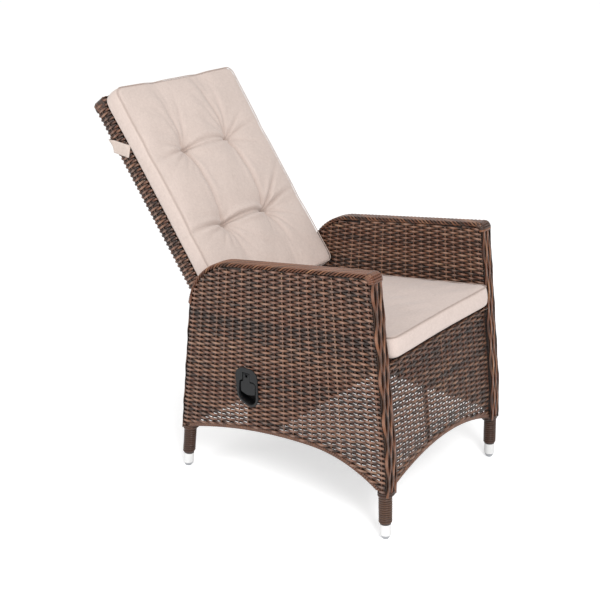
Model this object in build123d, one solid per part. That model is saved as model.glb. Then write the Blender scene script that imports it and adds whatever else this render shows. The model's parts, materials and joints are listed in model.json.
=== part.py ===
"""Reclining garden armchair: woven resin over a welded tube frame, with a gas spring under the seat.

The sitter faces -Y, +Z is up and the floor is Z = 0. X = 0 is the middle of the chair, and Y = 0
lies midway between the front and rear feet. Side "right" is the sitter's right (-X), which carries
the recline handle. All sizes are in millimetres, at the partly reclined pose.
"""
from build123d import *
from math import atan2, cos, hypot, pi, radians, sin, sqrt, tan
import os

os.makedirs("parts", exist_ok=True)

# Overall
overall_width = 580.0
arm_width = 47.0
weave = 5.0
snug = 0.3
fit_gap = 0.05
overrun = 60.0

# Side tubes, as reaches from the middle of the feet and heights of the tube's centre line
tube = 28.0
tube_wall = 1.5
front_foot_reach = 324.0
front_knee_reach = 317.0
front_knee_height = 215.0
front_knee_radius = 900.0
arm_front_reach = 262.0
arm_front_height = 654.0
arm_rear_reach = 256.0
arm_rear_rise = 153.0
arm_rear_bend_share = 0.8954
rear_foot_reach = 323.0
rail_nose_length = 4.0

# Feet and wrapped legs
foot_height = 40.0
foot_diameter = 29.0
foot_tip_diameter = 17.0
foot_tip_height = 11.0
foot_plug_length = 26.0
foot_plug_diameter = 24.6
wrap_diameter = 35.0
wrap_gap = 0.1

# Woven side panels
arm_front_corner = 16.0
arm_edge_round = 8.0
skin_bottom = 119.0
arch_height = 191.0
arch_apex_reach = 105.0
arch_front_height = 133.0
arch_rear_height = 131.0
arch_rod = 8.0

# Woven front panel
apron_set = 8.0
front_arch_height = 171.0
front_arch_end_height = 127.0

# Seat frame
seat_front_height = 449.0
seat_front_reach = 296.0
seat_pitch = 6.2
rail = 25.0
rail_wall = 1.5
rear_rail = 20.0
rear_rail_reach = 205.0
side_rail_rear = 276.0
bracket_round = 12.0
bracket_front_reach = 253.0
bracket_rear_reach = 254.0
bolt_diameter = 8.0
bolt_head_diameter = 13.0
bolt_head_height = 5.0
bolt_bite = 12.0

# Backrest: its hinge line, its slope from the vertical and its panel
pivot_reach = 259.0
pivot_height = 437.0
back_slope = 35.5
back_side_gap = 6.0
back_thickness = 48.0
back_length = 657.0
back_edge_round = 9.0
back_corner_round = 14.0
stile = 25.0
stile_tail = 16.0
back_bend_radius = 60.0
lower_rail_rise = 30.0

# Hinge of the backrest
pivot_bolt_diameter = 10.0
pivot_head_diameter = 16.0
pivot_head_height = 5.0
bush_diameter = 14.0
bush_flange_diameter = 20.0
bush_flange = 2.0
spacer_diameter = 18.0
pivot_plate_set = 7.5
pivot_plate_thickness = 9.5
pivot_plate_round = 14.0
pivot_opening = 24.0

# Gas spring, its lever on the backrest and its bracket under the seat
lever_length = 92.0
lever_plate = 5.0
lever_top_round = 18.0
lever_end_round = 12.0
lever_pin_diameter = 8.0
eye_width = 22.0
eye_outer_diameter = 27.0
eye_bore = 14.8
eye_slack_rear = 0.9
eye_slack_up = 2.7
eye_gap = 0.5
eye_neck_diameter = 14.0
eye_neck_length = 18.0
spring_front_reach = 60.0
spring_front_drop = 27.262
cylinder_diameter = 22.0
cylinder_wall = 1.5
cylinder_front = 72.0
cylinder_cap = 8.0
rod_diameter = 10.0
piston_inset = 60.0
piston_length = 14.0
head_width = 20.0
head_height = 22.0
head_nose = 12.0
head_length = 34.0
head_round = 3.0
head_socket = 10.0
spring_bracket_plate = 5.0
spring_bracket_round = 12.0
spring_bracket_top_round = 16.0
bracket_pin_diameter = 10.0
pin_head_diameter = 14.0
pin_head_height = 2.5
pin_tail = 2.0

# Release lever and cable stop on the spring's head
release_axle_reach = 16.5
release_axle_rise = 5.5
lever_slot_play = 0.5
lever_slot_front_play = 1.0
lever_slot_rear_play = 3.5
release_lever_thickness = 4.0
release_lever_width = 5.0
release_lever_drop = 24.0
release_lever_pin_diameter = 3.0
release_pin_diameter = 4.0
release_pin_gap = 1.2
stop_lug_width = 12.0
stop_lug_length = 6.0
stop_lug_drop = 30.0
wire_diameter = 1.6

# Recline handle in the right side panel: circles that its outlines wrap round
handle_front = 84.0
handle_rear = 101.0
handle_top = 327.0
handle_top_round = 27.0
handle_low_front = 82.0
handle_low_front_height = 276.0
handle_low_front_round = 27.0
handle_low_rear = 98.0
handle_low_rear_height = 281.0
handle_low_rear_round = 25.0
bezel_flange = 4.0
bezel_rim = 5.0
bezel_edge = 1.2
bezel_depth = 28.0
pocket_rim = 6.0
pocket_front = 72.0
pocket_rear = 105.0
pocket_top = 320.0
pocket_front_round = 12.0
pocket_rear_round = 10.0
pocket_depth = 22.0
neck_middle = 92.5
neck_slot_width = 24.0
paddle_neck_width = 22.0
paddle_thickness = 6.5
paddle_proud = 3.0
paddle_gap = 4.0
paddle_corner = 291.0
paddle_low = 280.0
paddle_low_round = 16.0
paddle_axis_height = 335.0
paddle_axis_depth = 3.0
paddle_barrel = 9.0
paddle_slot_gap = 2.0
paddle_pin_diameter = 3.0
paddle_pin_overhang = 4.0
paddle_spring_length = 8.0
paddle_spring_diameter = 6.4
cable_boss_diameter = 10.0
cable_boss_length = 6.0
cable_height = 330.0

# Release cable
cable_diameter = 5.0
cable_end_gap = 0.4
cable_last_run = 46.0
cable_bend_share = 0.45
cable_bends = ((-212.0, 92.5, 330.0), (-158.0, 88.0, 332.0), (-112.0, 76.0, 336.0),
               (-70.0, 60.0, 340.0), (-30.0, 44.0, 343.0))

# Seat cushion
cushion_side_gap = 4.0
cushion_corner_radius = 22.0
cushion_nose_radius = 7.0
cushion_draw_depth = 4.0
cushion_bulge_depth = 3.0
seat_cushion_front = 316.0
seat_cushion_rear = 166.0
seat_cushion_edge = 52.0
seat_cushion_crown = 15.0
seat_cushion_stations = 9

# Back cushion and its strap: its tufts lie on the stations next to a third of its length
back_cushion_start = 7.0
back_cushion_end = 647.0
back_cushion_edge = 58.0
back_cushion_crown = 14.0
back_cushion_stations = 13
tuft_stations = (5, 8)
tuft_depth = 24.0
tuft_puff = 14.0
tuft_spread = 85.0
crease_depth = 7.0
crease_puff = 7.0
strap_thickness = 2.0
strap_width = 34.0
strap_rise_front = 471.0
strap_rise_rear = 518.0

tube_x = overall_width / 2 - weave - snug - tube / 2
arm_inner = overall_width / 2 - arm_width
back_width = 2 * (arm_inner - back_side_gap)
cushion_half_width = arm_inner - cushion_side_gap
pivot_plate_inner = arm_inner + pivot_plate_set
pivot_plate_outer = pivot_plate_inner + pivot_plate_thickness
arm_rear_height = pivot_height + arm_rear_rise
arm_rear_radius = arm_rear_bend_share * arm_rear_rise
seat_tan = tan(radians(seat_pitch))
back_sin = sin(radians(back_slope))
back_cos = cos(radians(back_slope))
rail_x = arm_inner - 2 * snug - rail / 2
stile_x = back_width / 2 - weave - snug - stile / 2

SIDES = {"right": -1, "left": 1}


def save(name, shape):
    """Write one named piece to its own STEP file."""
    export_step(shape, "parts/" + name + ".step")


def seat_z(y):
    """Height of the plane that the seat cushion rests on."""
    return seat_front_height - seat_tan * (y + seat_front_reach)


def between(p, q, height):
    """Point at a height on the line from p to q, both (y, z)."""
    share = (height - p[1]) / (q[1] - p[1])
    return p[0] + share * (q[0] - p[0]), height


def crossing(p, u, q, v):
    """Where the line through p along u meets the line through q along v."""
    cross = u[0] * v[1] - u[1] * v[0]
    reach = ((q[0] - p[0]) * v[1] - (q[1] - p[1]) * v[0]) / cross
    return p[0] + reach * u[0], p[1] + reach * u[1]


def offset_route(points, distance):
    """The open route of (y, z) points moved sideways, to the left of its direction of travel."""
    lines = []
    for p, q in zip(points, points[1:]):
        length = hypot(q[0] - p[0], q[1] - p[1])
        u = ((q[0] - p[0]) / length, (q[1] - p[1]) / length)
        lines.append(((p[0] - u[1] * distance, p[1] + u[0] * distance), u, length))
    first, u, _ = lines[0]
    last, v, length = lines[-1]
    corners = [crossing(a[0], a[1], b[0], b[1]) for a, b in zip(lines, lines[1:])]
    return [first] + corners + [(last[0] + v[0] * length, last[1] + v[1] * length)]


def prism_x(sketch, low, high):
    """A (y, z) outline drawn out along X from low to high."""
    return extrude(Plane.YZ.offset(low) * sketch, amount=high - low)


def bar_x(radius, y, z, low, high):
    """A round bar along X."""
    return prism_x(Pos(y, z) * Circle(radius), low, high)


def rod_between(p, q, radius, start=0, end=None):
    """A round bar from p towards q, from one distance along it to another."""
    p, q = Vector(*p), Vector(*q)
    run = (q - p).length if end is None else end
    plane = Plane(origin=p, z_dir=q - p)
    return extrude(plane.offset(start) * Circle(radius), amount=run - start)


def tube_along(path, diameter, wall):
    """A round tube swept along a wire of lines and arcs."""
    plane = Plane(origin=path @ 0, z_dir=path % 0)
    ring = Circle(diameter / 2) - Circle(diameter / 2 - wall)
    return sweep(plane * ring, path=path)


def hull_of(circles):
    """The outline stretched round a few circles, each (y, z, radius)."""
    edges = []
    for y, z, radius in circles:
        edges += (Pos(y, z) * Circle(radius)).edges()
    return make_hull(edges)


# The route of a side's tubes: front foot, knee, front of the arm, rear of the arm, rear foot
front_foot = (-front_foot_reach, 0)
front_knee = (-front_knee_reach, front_knee_height)
arm_front = (-arm_front_reach, arm_front_height)
arm_rear = (arm_rear_reach, arm_rear_height)
rear_foot = (rear_foot_reach, 0)


def front_leg_y(z):
    """Centre of the front leg's tube at a height."""
    if z < front_knee_height:
        return between(front_foot, front_knee, z)[0]
    return between(front_knee, arm_front, z)[0]


def rear_leg_y(z):
    """Centre of the rear leg's tube at a height."""
    return between(arm_rear, rear_foot, z)[0]


def leg_axis(front):
    """The foot point and the next point of a leg's axis, as (y, z)."""
    return (front_foot, front_knee) if front else (rear_foot, arm_rear)


def front_leg(side):
    """Front leg tube, notched under the arm's rail."""
    x = side * tube_x
    start = between(front_foot, front_knee, foot_height)
    path = FilletPolyline((x, *start), (x, *front_knee), (x, *arm_front), radius=[front_knee_radius])
    notch = rod_between((x, *arm_front), (x, *arm_rear), tube / 2, -tube, tube)
    return tube_along(path, tube, tube_wall) - notch


def arm_rail(side):
    """Arm rail and rear leg, one bent tube."""
    x = side * tube_x
    length = hypot(arm_rear[0] - arm_front[0], arm_rear[1] - arm_front[1])
    nose_share = rail_nose_length / length
    nose = (arm_front[0] - nose_share * (arm_rear[0] - arm_front[0]),
            arm_front[1] - nose_share * (arm_rear[1] - arm_front[1]))
    end = between(arm_rear, rear_foot, foot_height)
    path = FilletPolyline((x, *nose), (x, *arm_rear), (x, *end), radius=[arm_rear_radius])
    return tube_along(path, tube, tube_wall)


def leg_plane(side, front):
    """Plane across a leg at the floor, with its Z up the leg."""
    low, high = leg_axis(front)
    x = side * tube_x
    return Plane(origin=(x, *low), x_dir=(1, 0, 0), z_dir=(0, high[0] - low[0], high[1] - low[1]))


def foot(side, front):
    """White moulded foot with a plug that fits in the tube, flat where it meets the floor."""
    low, high = leg_axis(front)
    slant = hypot(high[0] - low[0], high[1] - low[1]) / (high[1] - low[1])
    rim = foot_height * slant
    plug = foot_plug_diameter / 2
    tip = foot_tip_diameter / 2
    wide = foot_diameter / 2
    profile = make_face([
        Polyline((0, rim + foot_plug_length), (0, -foot_tip_height), (tip, -foot_tip_height)),
        Polyline((tip, -foot_tip_height), (tip, 0), (wide, foot_tip_height), (tube / 2, rim - snug),
                 (plug, rim - snug), (plug, rim + foot_plug_length), (0, rim + foot_plug_length)),
    ])
    solid = revolve(Plane.XZ * profile, axis=Axis.Z)
    placed = leg_plane(side, front) * solid
    floor_cut = Pos(side * tube_x, low[0], -overrun / 2) * Box(overrun, overrun, overrun)
    return placed - floor_cut


def leg_wrap(side, front):
    """Strand wrapped round a leg between its foot and the woven panel, as one sleeve."""
    low, high = leg_axis(front)
    slant = hypot(high[0] - low[0], high[1] - low[1]) / (high[1] - low[1])
    ring = Circle(wrap_diameter / 2) - Circle(tube / 2 + wrap_gap)
    sleeve = extrude(Plane.XY.offset(foot_height * slant + wrap_gap) * ring, amount=overrun * 2)
    placed = leg_plane(side, front) * sleeve
    over = Pos(side * tube_x, low[0], skin_bottom - snug + overrun * 2) * Box(
        overrun * 2, overrun * 2, overrun * 4)
    return placed - over


def side_outline(distance, corner, bottom):
    """Face bounded by the side route moved outwards, down to a height."""
    front_low = between(front_foot, front_knee, bottom)
    rear_low = between(arm_rear, rear_foot, bottom)
    route = offset_route([front_low, front_knee, arm_front, arm_rear, rear_low], distance)
    radii = [front_knee_radius + distance, corner, arm_rear_radius + distance]
    upper = FilletPolyline(*route, radius=radii)
    return make_face([upper, Line(route[-1], route[0])])


def arch_face(rise):
    """Everything under the side panel's lower edge, moved up by a rise."""
    low = skin_bottom - overrun
    front_y = front_leg_y(arch_front_height) + wrap_diameter / 2
    rear_y = rear_leg_y(arch_rear_height) - wrap_diameter / 2
    front_end = (front_y, arch_front_height + rise)
    rear_end = (rear_y, arch_rear_height + rise)
    apex = (-arch_apex_reach, arch_height + rise)
    return make_face([
        TangentArc(apex, front_end, tangent=(-1, 0)),
        TangentArc(apex, rear_end, tangent=(1, 0)),
        Polyline(front_end, (front_y, low), (rear_y, low), rear_end),
    ])


def side_block(distance, corner, bottom, low, high):
    """The side outline drawn out between two distances from the middle of the chair."""
    return prism_x(side_outline(distance, corner, bottom), low, high)


def under_seat_face():
    """Everything under the seat plane, as a (y, z) face."""
    front, rear = -front_foot_reach - overrun, rear_foot_reach + overrun
    corners = [(front, 0), (rear, 0), (rear, seat_z(rear)), (front, seat_z(front))]
    return make_face(Polyline(*corners, corners[0]))


def side_wicker(side):
    """Woven shell of a side: outer face to the arch, arm top, edge strips, inner face to the seat."""
    reach = tube / 2 + snug
    outer_x = overall_width / 2
    block = side_block(reach + weave, arm_front_corner, skin_bottom, arm_inner, outer_x)
    flat = [e for e in block.edges() if e.bounding_box().size.X < fit_gap]
    block = fillet([e for e in flat if e.bounding_box().max.Z > skin_bottom + weave], arm_edge_round)
    hollow_corner = arm_front_corner - weave
    hollow = side_block(reach, hollow_corner, skin_bottom - weave, arm_inner + weave, outer_x - weave)
    block -= hollow
    block -= prism_x(arch_face(0), arm_inner - overrun, outer_x + overrun)
    near, far = arm_inner - weave, arm_inner + 2 * weave
    inner_cut = side_block(reach, hollow_corner, skin_bottom - weave, near, far)
    block -= inner_cut & prism_x(under_seat_face(), near, far)
    block -= bar_x(pivot_opening / 2, pivot_reach, pivot_height, near, far)
    if side > 0:
        return block
    block = mirror(block, about=Plane.YZ)
    return block - prism_x(bezel_outline(snug - bezel_rim), -outer_x - weave, -outer_x + 2 * weave)


def side_arch_rod(side):
    """Rod that the lower edge of a side panel is woven round, welded to both legs."""
    x = side * (tube_x + tube / 2 - arch_rod)
    rise = arch_rod / 2 + snug
    front_end = (front_leg_y(arch_front_height), arch_front_height + rise)
    rear_end = (rear_leg_y(arch_rear_height), arch_rear_height + rise)
    apex = (-arch_apex_reach, arch_height + rise)
    arcs = [TangentArc(apex, front_end, tangent=(-1, 0)), TangentArc(apex, rear_end, tangent=(1, 0))]
    path = Plane.YZ.offset(x) * Wire(arcs)
    rod = sweep(Plane(origin=path @ 0, z_dir=path % 0) * Circle(arch_rod / 2), path=path)
    for low, high in (leg_axis(True), leg_axis(False)):
        rod -= rod_between((side * tube_x, *low), (side * tube_x, *high), tube / 2 + fit_gap)
    return rod.solids().sort_by(SortBy.VOLUME)[-1]


def front_band(far, near, top):
    """A strip along the front legs' line between two distances in front of it."""
    route = [between(front_foot, front_knee, skin_bottom), front_knee, between(front_knee, arm_front, top)]
    out = offset_route(route, far)
    back = offset_route(route, near)
    return make_face([
        FilletPolyline(*out, radius=[front_knee_radius]),
        Line(out[-1], back[-1]),
        FilletPolyline(*reversed(back), radius=[front_knee_radius]),
        Line(back[0], out[0]),
    ])


def front_arch_face(rise):
    """Everything under the front panel's lower edge, in the (x, z) plane."""
    half = arm_inner
    low = front_arch_end_height - overrun
    return make_face([
        ThreePointArc((-half, front_arch_end_height + rise), (0, front_arch_height + rise),
                      (half, front_arch_end_height + rise)),
        Polyline((half, front_arch_end_height + rise), (half, low), (-half, low),
                 (-half, front_arch_end_height + rise)),
    ])


def front_apron():
    """Woven front panel between the front legs, from the seat to its own arch."""
    half = arm_inner - snug
    band = prism_x(front_band(apron_set, apron_set - weave, arm_front_height), -half, half)
    band &= prism_x(under_seat_face(), -half - weave, half + weave)
    cut = extrude(Plane.XZ.offset(front_foot_reach - 2 * overrun) * front_arch_face(0), amount=overrun * 3)
    return band - cut


def front_arch_rod():
    """Rod that the front panel's lower edge is woven round."""
    rise = arch_rod / 2 + snug
    lean = (front_knee[0] - front_foot[0]) / front_knee_height
    middle = front_arch_height + rise
    set_back = arch_rod / 2 + snug - (apron_set - weave)
    plane = Plane(origin=(0, front_leg_y(middle) + set_back, middle), x_dir=(1, 0, 0), z_dir=(0, -1, lean))
    drop = (front_arch_end_height - front_arch_height) * sqrt(1 + lean * lean)
    arc = plane * ThreePointArc((-tube_x, drop), (0, 0), (tube_x, drop))
    section = Plane(origin=arc @ 0, z_dir=arc % 0) * Circle(arch_rod / 2)
    rod = sweep(section, path=arc)
    for side in SIDES.values():
        rod -= rod_between((side * tube_x, *front_foot), (side * tube_x, *front_knee), tube / 2 + fit_gap)
    return rod.solids().sort_by(SortBy.VOLUME)[-1]


# Woven panel and clearances between the seat cushion's plane and the seat frame
panel_drop = weave + 2 * snug
rail_drop = panel_drop + rail / 2
front_rail_y = front_leg_y(seat_front_height - rail_drop) - (apron_set - weave) + snug + rail / 2


def rail_z(y):
    """Height of the seat rails' centre line."""
    return seat_z(y) - rail_drop


def side_rail_core(side, radius, overhang=0):
    """Solid bar on a seat side rail's line, which starts at the front rail's centre."""
    x = side * rail_x
    front, rear = front_rail_y - overhang, side_rail_rear + overhang
    return rod_between((x, front, rail_z(front)), (x, rear, rail_z(rear)), radius)


def seat_side_rail(side):
    """Side tube of the seat frame, notched to the front rail and drilled for its two bolts."""
    tube_solid = side_rail_core(side, rail / 2) - side_rail_core(side, rail / 2 - rail_wall, overrun)
    tube_solid -= bar_x(rail / 2, front_rail_y, rail_z(front_rail_y), -overall_width, overall_width)
    for y in (-bracket_front_reach, bracket_rear_reach):
        tube_solid -= bar_x(bolt_diameter / 2 + fit_gap, y, rail_z(y), -overall_width, overall_width)
    return tube_solid


def seat_front_rail():
    """Front tube of the seat frame, which the side rails are welded to."""
    half = rail_x + rail / 2
    ends = (front_rail_y, rail_z(front_rail_y), -half, half)
    return bar_x(rail / 2, *ends) - bar_x(rail / 2 - rail_wall, *ends)


def cross_rail(y, diameter):
    """Cross tube of the seat frame under the woven panel, notched to the side rails."""
    z = seat_z(y) - panel_drop - diameter / 2
    bar = bar_x(diameter / 2, y, z, -rail_x, rail_x) - bar_x(diameter / 2 - rail_wall, y, z, -rail_x, rail_x)
    for side in SIDES.values():
        bar -= side_rail_core(side, rail / 2, overrun)
    return bar


def seat_panel():
    """Woven seat panel stretched over the rails."""
    half = arm_inner - snug
    front = front_leg_y(seat_front_height) - (apron_set - weave) + snug
    rear = rear_rail_reach + rail / 2
    corners = [(front, seat_z(front) - snug), (rear, seat_z(rear) - snug),
               (rear, seat_z(rear) - snug - weave), (front, seat_z(front) - snug - weave)]
    return prism_x(make_face(Polyline(*corners, corners[0])), -half, half)


def seat_bracket(side, front):
    """Lug welded to a leg that takes a bolt of the seat frame."""
    y = -bracket_front_reach if front else bracket_rear_reach
    z = rail_z(y)
    inner = rail_x + rail / 2 + snug
    leg_y = front_leg_y(z) if front else rear_leg_y(z)
    outline = hull_of([(y, z, bracket_round), (leg_y, z, bracket_round)])
    lug = prism_x(outline, *sorted((side * inner, side * (tube_x - tube / 4))))
    low, high = (front_knee, arm_front) if front else (rear_foot, arm_rear)
    lug -= rod_between((side * tube_x, *low), (side * tube_x, *high), tube / 2)
    lug = lug.solids().sort_by(SortBy.VOLUME)[-1]
    hole_end = inner + bolt_bite + snug
    return lug - bar_x(bolt_diameter / 2 + fit_gap, y, z, *sorted((side * inner, side * hole_end)))


def frame_bolt(side, front):
    """Bolt through a seat side rail into its bracket."""
    y = -bracket_front_reach if front else bracket_rear_reach
    z = rail_z(y)
    head = rail_x - rail / 2 - snug
    end = rail_x + rail / 2 + snug + bolt_bite
    shank = bar_x(bolt_diameter / 2, y, z, *sorted((side * head, side * end)))
    hexagon = Pos(y, z) * RegularPolygon(bolt_head_diameter / 2, 6)
    return shank + prism_x(hexagon, *sorted((side * head, side * (head - bolt_head_height))))


# The backrest's own plane: X across, Y up the backrest from the hinge, Z towards the sitter
back = Plane(origin=(0, pivot_reach, pivot_height), x_dir=(1, 0, 0), z_dir=(0, -back_cos, back_sin))
frame_top = back_length - weave - snug - stile / 2


def back_bar(x, low, high, radius):
    """Round bar up the backrest, in the backrest's own plane."""
    return rod_between((x, low, 0), (x, high, 0), radius)


def back_tube():
    """Bent tube of the backrest, two stiles and the top, cross drilled for the hinge bushes."""
    x = stile_x
    route = [(-x, -stile_tail, 0), (-x, frame_top, 0), (x, frame_top, 0), (x, -stile_tail, 0)]
    bent = tube_along(FilletPolyline(*route, radius=back_bend_radius), stile, rail_wall)
    hole = rod_between((-x - stile, 0, 0), (x + stile, 0, 0), bush_diameter / 2 + fit_gap)
    return back * (bent - hole)


def back_lower_rail():
    """Cross tube of the backrest, notched to the stiles, which carries the spring's lever."""
    ends = ((-stile_x, lower_rail_rise, 0), (stile_x, lower_rail_rise, 0))
    bar = rod_between(*ends, stile / 2) - rod_between(*ends, stile / 2 - rail_wall)
    for side in SIDES.values():
        bar -= back_bar(side * stile_x, -stile_tail, back_length, stile / 2)
    return back * bar


def back_wicker():
    """Woven shell of the backrest, closed round its frame and slotted for the stiles and lever."""
    low = lower_rail_rise - stile / 2 - snug - weave
    length = back_length - low
    middle = (back_length + low) / 2
    block = Pos(0, middle, 0) * Box(back_width, length, back_thickness)
    block = fillet(block.edges().filter_by(Axis.Z), back_corner_round)
    block = fillet(block.faces().sort_by(Axis.Z)[0].edges() + block.faces().sort_by(Axis.Z)[-1].edges(),
                   back_edge_round)
    hollow = Pos(0, middle, 0) * Box(back_width - 2 * weave, length - 2 * weave, back_thickness - 2 * weave)
    hollow = fillet(hollow.edges().filter_by(Axis.Z), back_corner_round - weave)
    block -= hollow
    for side in SIDES.values():
        block -= back_bar(side * stile_x, -stile_tail, lower_rail_rise, stile / 2 + snug)
    block = back * block
    half = eye_width / 2 + eye_gap + lever_plate
    slot = lever_outline(snug)
    return block - prism_x(slot, -half - snug, half + snug)


lever_end = (pivot_reach, pivot_height - lever_length)
rail_centre = (pivot_reach + lower_rail_rise * back_sin, pivot_height + lower_rail_rise * back_cos)
eye_centre = (lever_end[0] + eye_slack_rear, lever_end[1] + eye_slack_up)
spring_front = (-spring_front_reach, rail_z(-spring_front_reach) - spring_front_drop)
spring_length = hypot(eye_centre[0] - spring_front[0], eye_centre[1] - spring_front[1])
# The gas spring's own plane: X across, Z from its front pin to its rear eye, Y up
strut = Plane(origin=(0, *spring_front), x_dir=(-1, 0, 0),
              z_dir=(0, eye_centre[0] - spring_front[0], eye_centre[1] - spring_front[1]))


def lever_outline(grow):
    """Outline of the spring's lever plates, from the backrest's lower rail to the rear pin."""
    return hull_of([(*rail_centre, lever_top_round + grow), (*lever_end, lever_end_round + grow)])


def spring_lever():
    """Two lever plates welded to the backrest's lower rail."""
    inner = eye_width / 2 + eye_gap
    plates = Compound([])
    cut = rod_between((-stile_x, *rail_centre), (stile_x, *rail_centre), stile / 2)
    hole = bar_x(lever_pin_diameter / 2 + fit_gap, *lever_end, -overrun, overrun)
    solids = []
    for side in SIDES.values():
        plate = prism_x(lever_outline(0), *sorted((side * inner, side * (inner + lever_plate))))
        solids += (plate - cut - hole).solids()
    return Compound(solids)


def headed_pin(centre, diameter, grip):
    """Clevis pin along X through two plates, headed at one end and clipped at the other."""
    pin = bar_x(diameter / 2, *centre, -grip - pin_tail, grip + pin_head_height)
    return pin + bar_x(pin_head_diameter / 2, *centre, grip + snug, grip + pin_head_height)


def lever_pin():
    """Pin of the lever, which the spring's rear eye hangs on with its own slack."""
    return headed_pin(lever_end, lever_pin_diameter, eye_width / 2 + eye_gap + lever_plate)


def strut_bar(radius, start, end):
    """Round bar on the gas spring's axis, in the spring's own plane."""
    return Pos(0, 0, start) * extrude(Circle(radius), amount=end - start)


cylinder_end = spring_length - eye_neck_length


def spring_eye():
    """Rear eye of the gas spring, screwed on the cylinder's end."""
    ring = bar_x(eye_outer_diameter / 2, *eye_centre, -eye_width / 2, eye_width / 2)
    neck = strut * strut_bar(eye_neck_diameter / 2, cylinder_end + fit_gap, spring_length)
    return ring + neck - bar_x(eye_bore / 2, *eye_centre, -eye_width, eye_width)


def gas_cylinder():
    """Pressure tube of the gas spring, closed at the rear and with the rod's guide in front."""
    body = strut_bar(cylinder_diameter / 2, cylinder_front, cylinder_end)
    body = chamfer(body.edges(), cylinder_wall)
    bore = cylinder_diameter / 2 - cylinder_wall
    body -= strut_bar(bore, cylinder_front + cylinder_cap, cylinder_end - cylinder_cap)
    body -= strut_bar(rod_diameter / 2 + fit_gap, cylinder_front - overrun, cylinder_front + 2 * cylinder_cap)
    return strut * body


def gas_rod():
    """Polished rod with its piston."""
    piston = cylinder_front + piston_inset
    rod = strut_bar(rod_diameter / 2, head_length - head_socket + fit_gap, piston)
    bore = cylinder_diameter / 2 - cylinder_wall
    return strut * (rod + strut_bar(bore - 2 * fit_gap, piston, piston + piston_length))


def release_head():
    """Front fitting of the gas spring: its eye, the lever's slot and the cable's stop."""
    length = head_length + head_nose
    body = Pos(0, 0, (head_length - head_nose) / 2) * Box(head_width, head_height, length)
    body = fillet(body.edges().filter_by(Axis.X), head_round)
    lug_z = head_length - stop_lug_length / 2
    body += Pos(0, -stop_lug_drop / 2, lug_z) * Box(stop_lug_width, stop_lug_drop, stop_lug_length)
    body -= strut_bar(rod_diameter / 2 + fit_gap, head_length - head_socket, head_length + overrun)
    body -= strut_bar(release_pin_diameter / 2 + fit_gap, release_axle_reach, head_length)
    slot_front = release_axle_reach - release_lever_width / 2 - lever_slot_front_play
    slot_rear = release_axle_reach + release_lever_width / 2 + lever_slot_rear_play
    slot_top = release_axle_rise + release_lever_width / 2 + lever_slot_play
    slot_wide = release_lever_thickness + 2 * lever_slot_play
    slot = Box(slot_wide, overrun, slot_rear - slot_front)
    body -= Pos(0, slot_top - overrun / 2, (slot_front + slot_rear) / 2) * slot
    wire_hole = strut_bar(wire_diameter / 2 + fit_gap, slot_rear, head_length + overrun)
    body -= Pos(0, -release_lever_drop, 0) * wire_hole
    body = strut * body
    body -= bar_x(bracket_pin_diameter / 2 + fit_gap, *spring_front, -overrun, overrun)
    return body - release_lever_axle(fit_gap, head_width)


def release_lever_axle(grow, length):
    """Axle of the release lever, across the head."""
    start = (-length / 2, release_axle_rise, release_axle_reach)
    end = (length / 2, release_axle_rise, release_axle_reach)
    return strut * rod_between(start, end, release_lever_pin_diameter / 2 + grow)


def release_lever():
    """Lever in the head that pushes the spring's valve pin when the cable pulls its lower end."""
    half = release_lever_width / 2
    thick = release_lever_thickness / 2
    plane = Plane(origin=(-thick, 0, 0), x_dir=(0, 1, 0), z_dir=(1, 0, 0))
    face = hull_of([(release_axle_rise, release_axle_reach, half),
                    (-release_lever_drop, release_axle_reach, half)])
    lever = strut * extrude(plane * face, amount=release_lever_thickness)
    return lever - release_lever_axle(fit_gap, head_width)


def release_pin():
    """Valve pin between the release lever and the spring's rod."""
    start = release_axle_reach + release_lever_width / 2 + release_pin_gap
    return strut * strut_bar(release_pin_diameter / 2, start, head_length - head_socket - fit_gap)


def spring_bracket():
    """Two plates welded under the seat's middle tube that hold the spring's front pin."""
    y = -spring_front_reach
    inner = head_width / 2 + eye_gap
    outline = hull_of([(y, rail_z(y), spring_bracket_top_round), (*spring_front, spring_bracket_round)])
    cut = bar_x(rail / 2, y, rail_z(y), -overrun, overrun)
    cut += prism_x(Pos(y, rail_z(y) + overrun / 2) * Rectangle(overrun, overrun), -overrun, overrun)
    cut += bar_x(bracket_pin_diameter / 2 + fit_gap, *spring_front, -overrun, overrun)
    solids = []
    for side in SIDES.values():
        plate = prism_x(outline, *sorted((side * inner, side * (inner + spring_bracket_plate))))
        solids += (plate - cut).solids()
    return Compound(solids)


def spring_bracket_pin():
    """Pin of the spring's front fitting."""
    return headed_pin(spring_front, bracket_pin_diameter, head_width / 2 + eye_gap + spring_bracket_plate)


def pivot_plate(side):
    """Lug welded to the rear leg, threaded for the hinge bolt."""
    low, high = sorted((side * pivot_plate_inner, side * pivot_plate_outer))
    outline = hull_of([(pivot_reach, pivot_height, pivot_plate_round),
                       (rear_leg_y(pivot_height), pivot_height, pivot_plate_round)])
    lug = prism_x(outline, low, high)
    lug -= rod_between((side * tube_x, *arm_rear), (side * tube_x, *rear_foot), tube / 2)
    lug = lug.solids().sort_by(SortBy.VOLUME)[-1]
    return lug - bar_x(pivot_bolt_diameter / 2 + fit_gap, pivot_reach, pivot_height, low, high)


def pivot_bolt(side):
    """Shoulder bolt of the backrest's hinge, headed inside the stile and screwed into the lug."""
    head = stile_x - stile / 2 - snug
    shank = bar_x(pivot_bolt_diameter / 2, pivot_reach, pivot_height,
                  *sorted((side * head, side * (pivot_plate_outer - snug))))
    return shank + bar_x(pivot_head_diameter / 2, pivot_reach, pivot_height,
                         *sorted((side * head, side * (head - pivot_head_height))))


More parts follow.
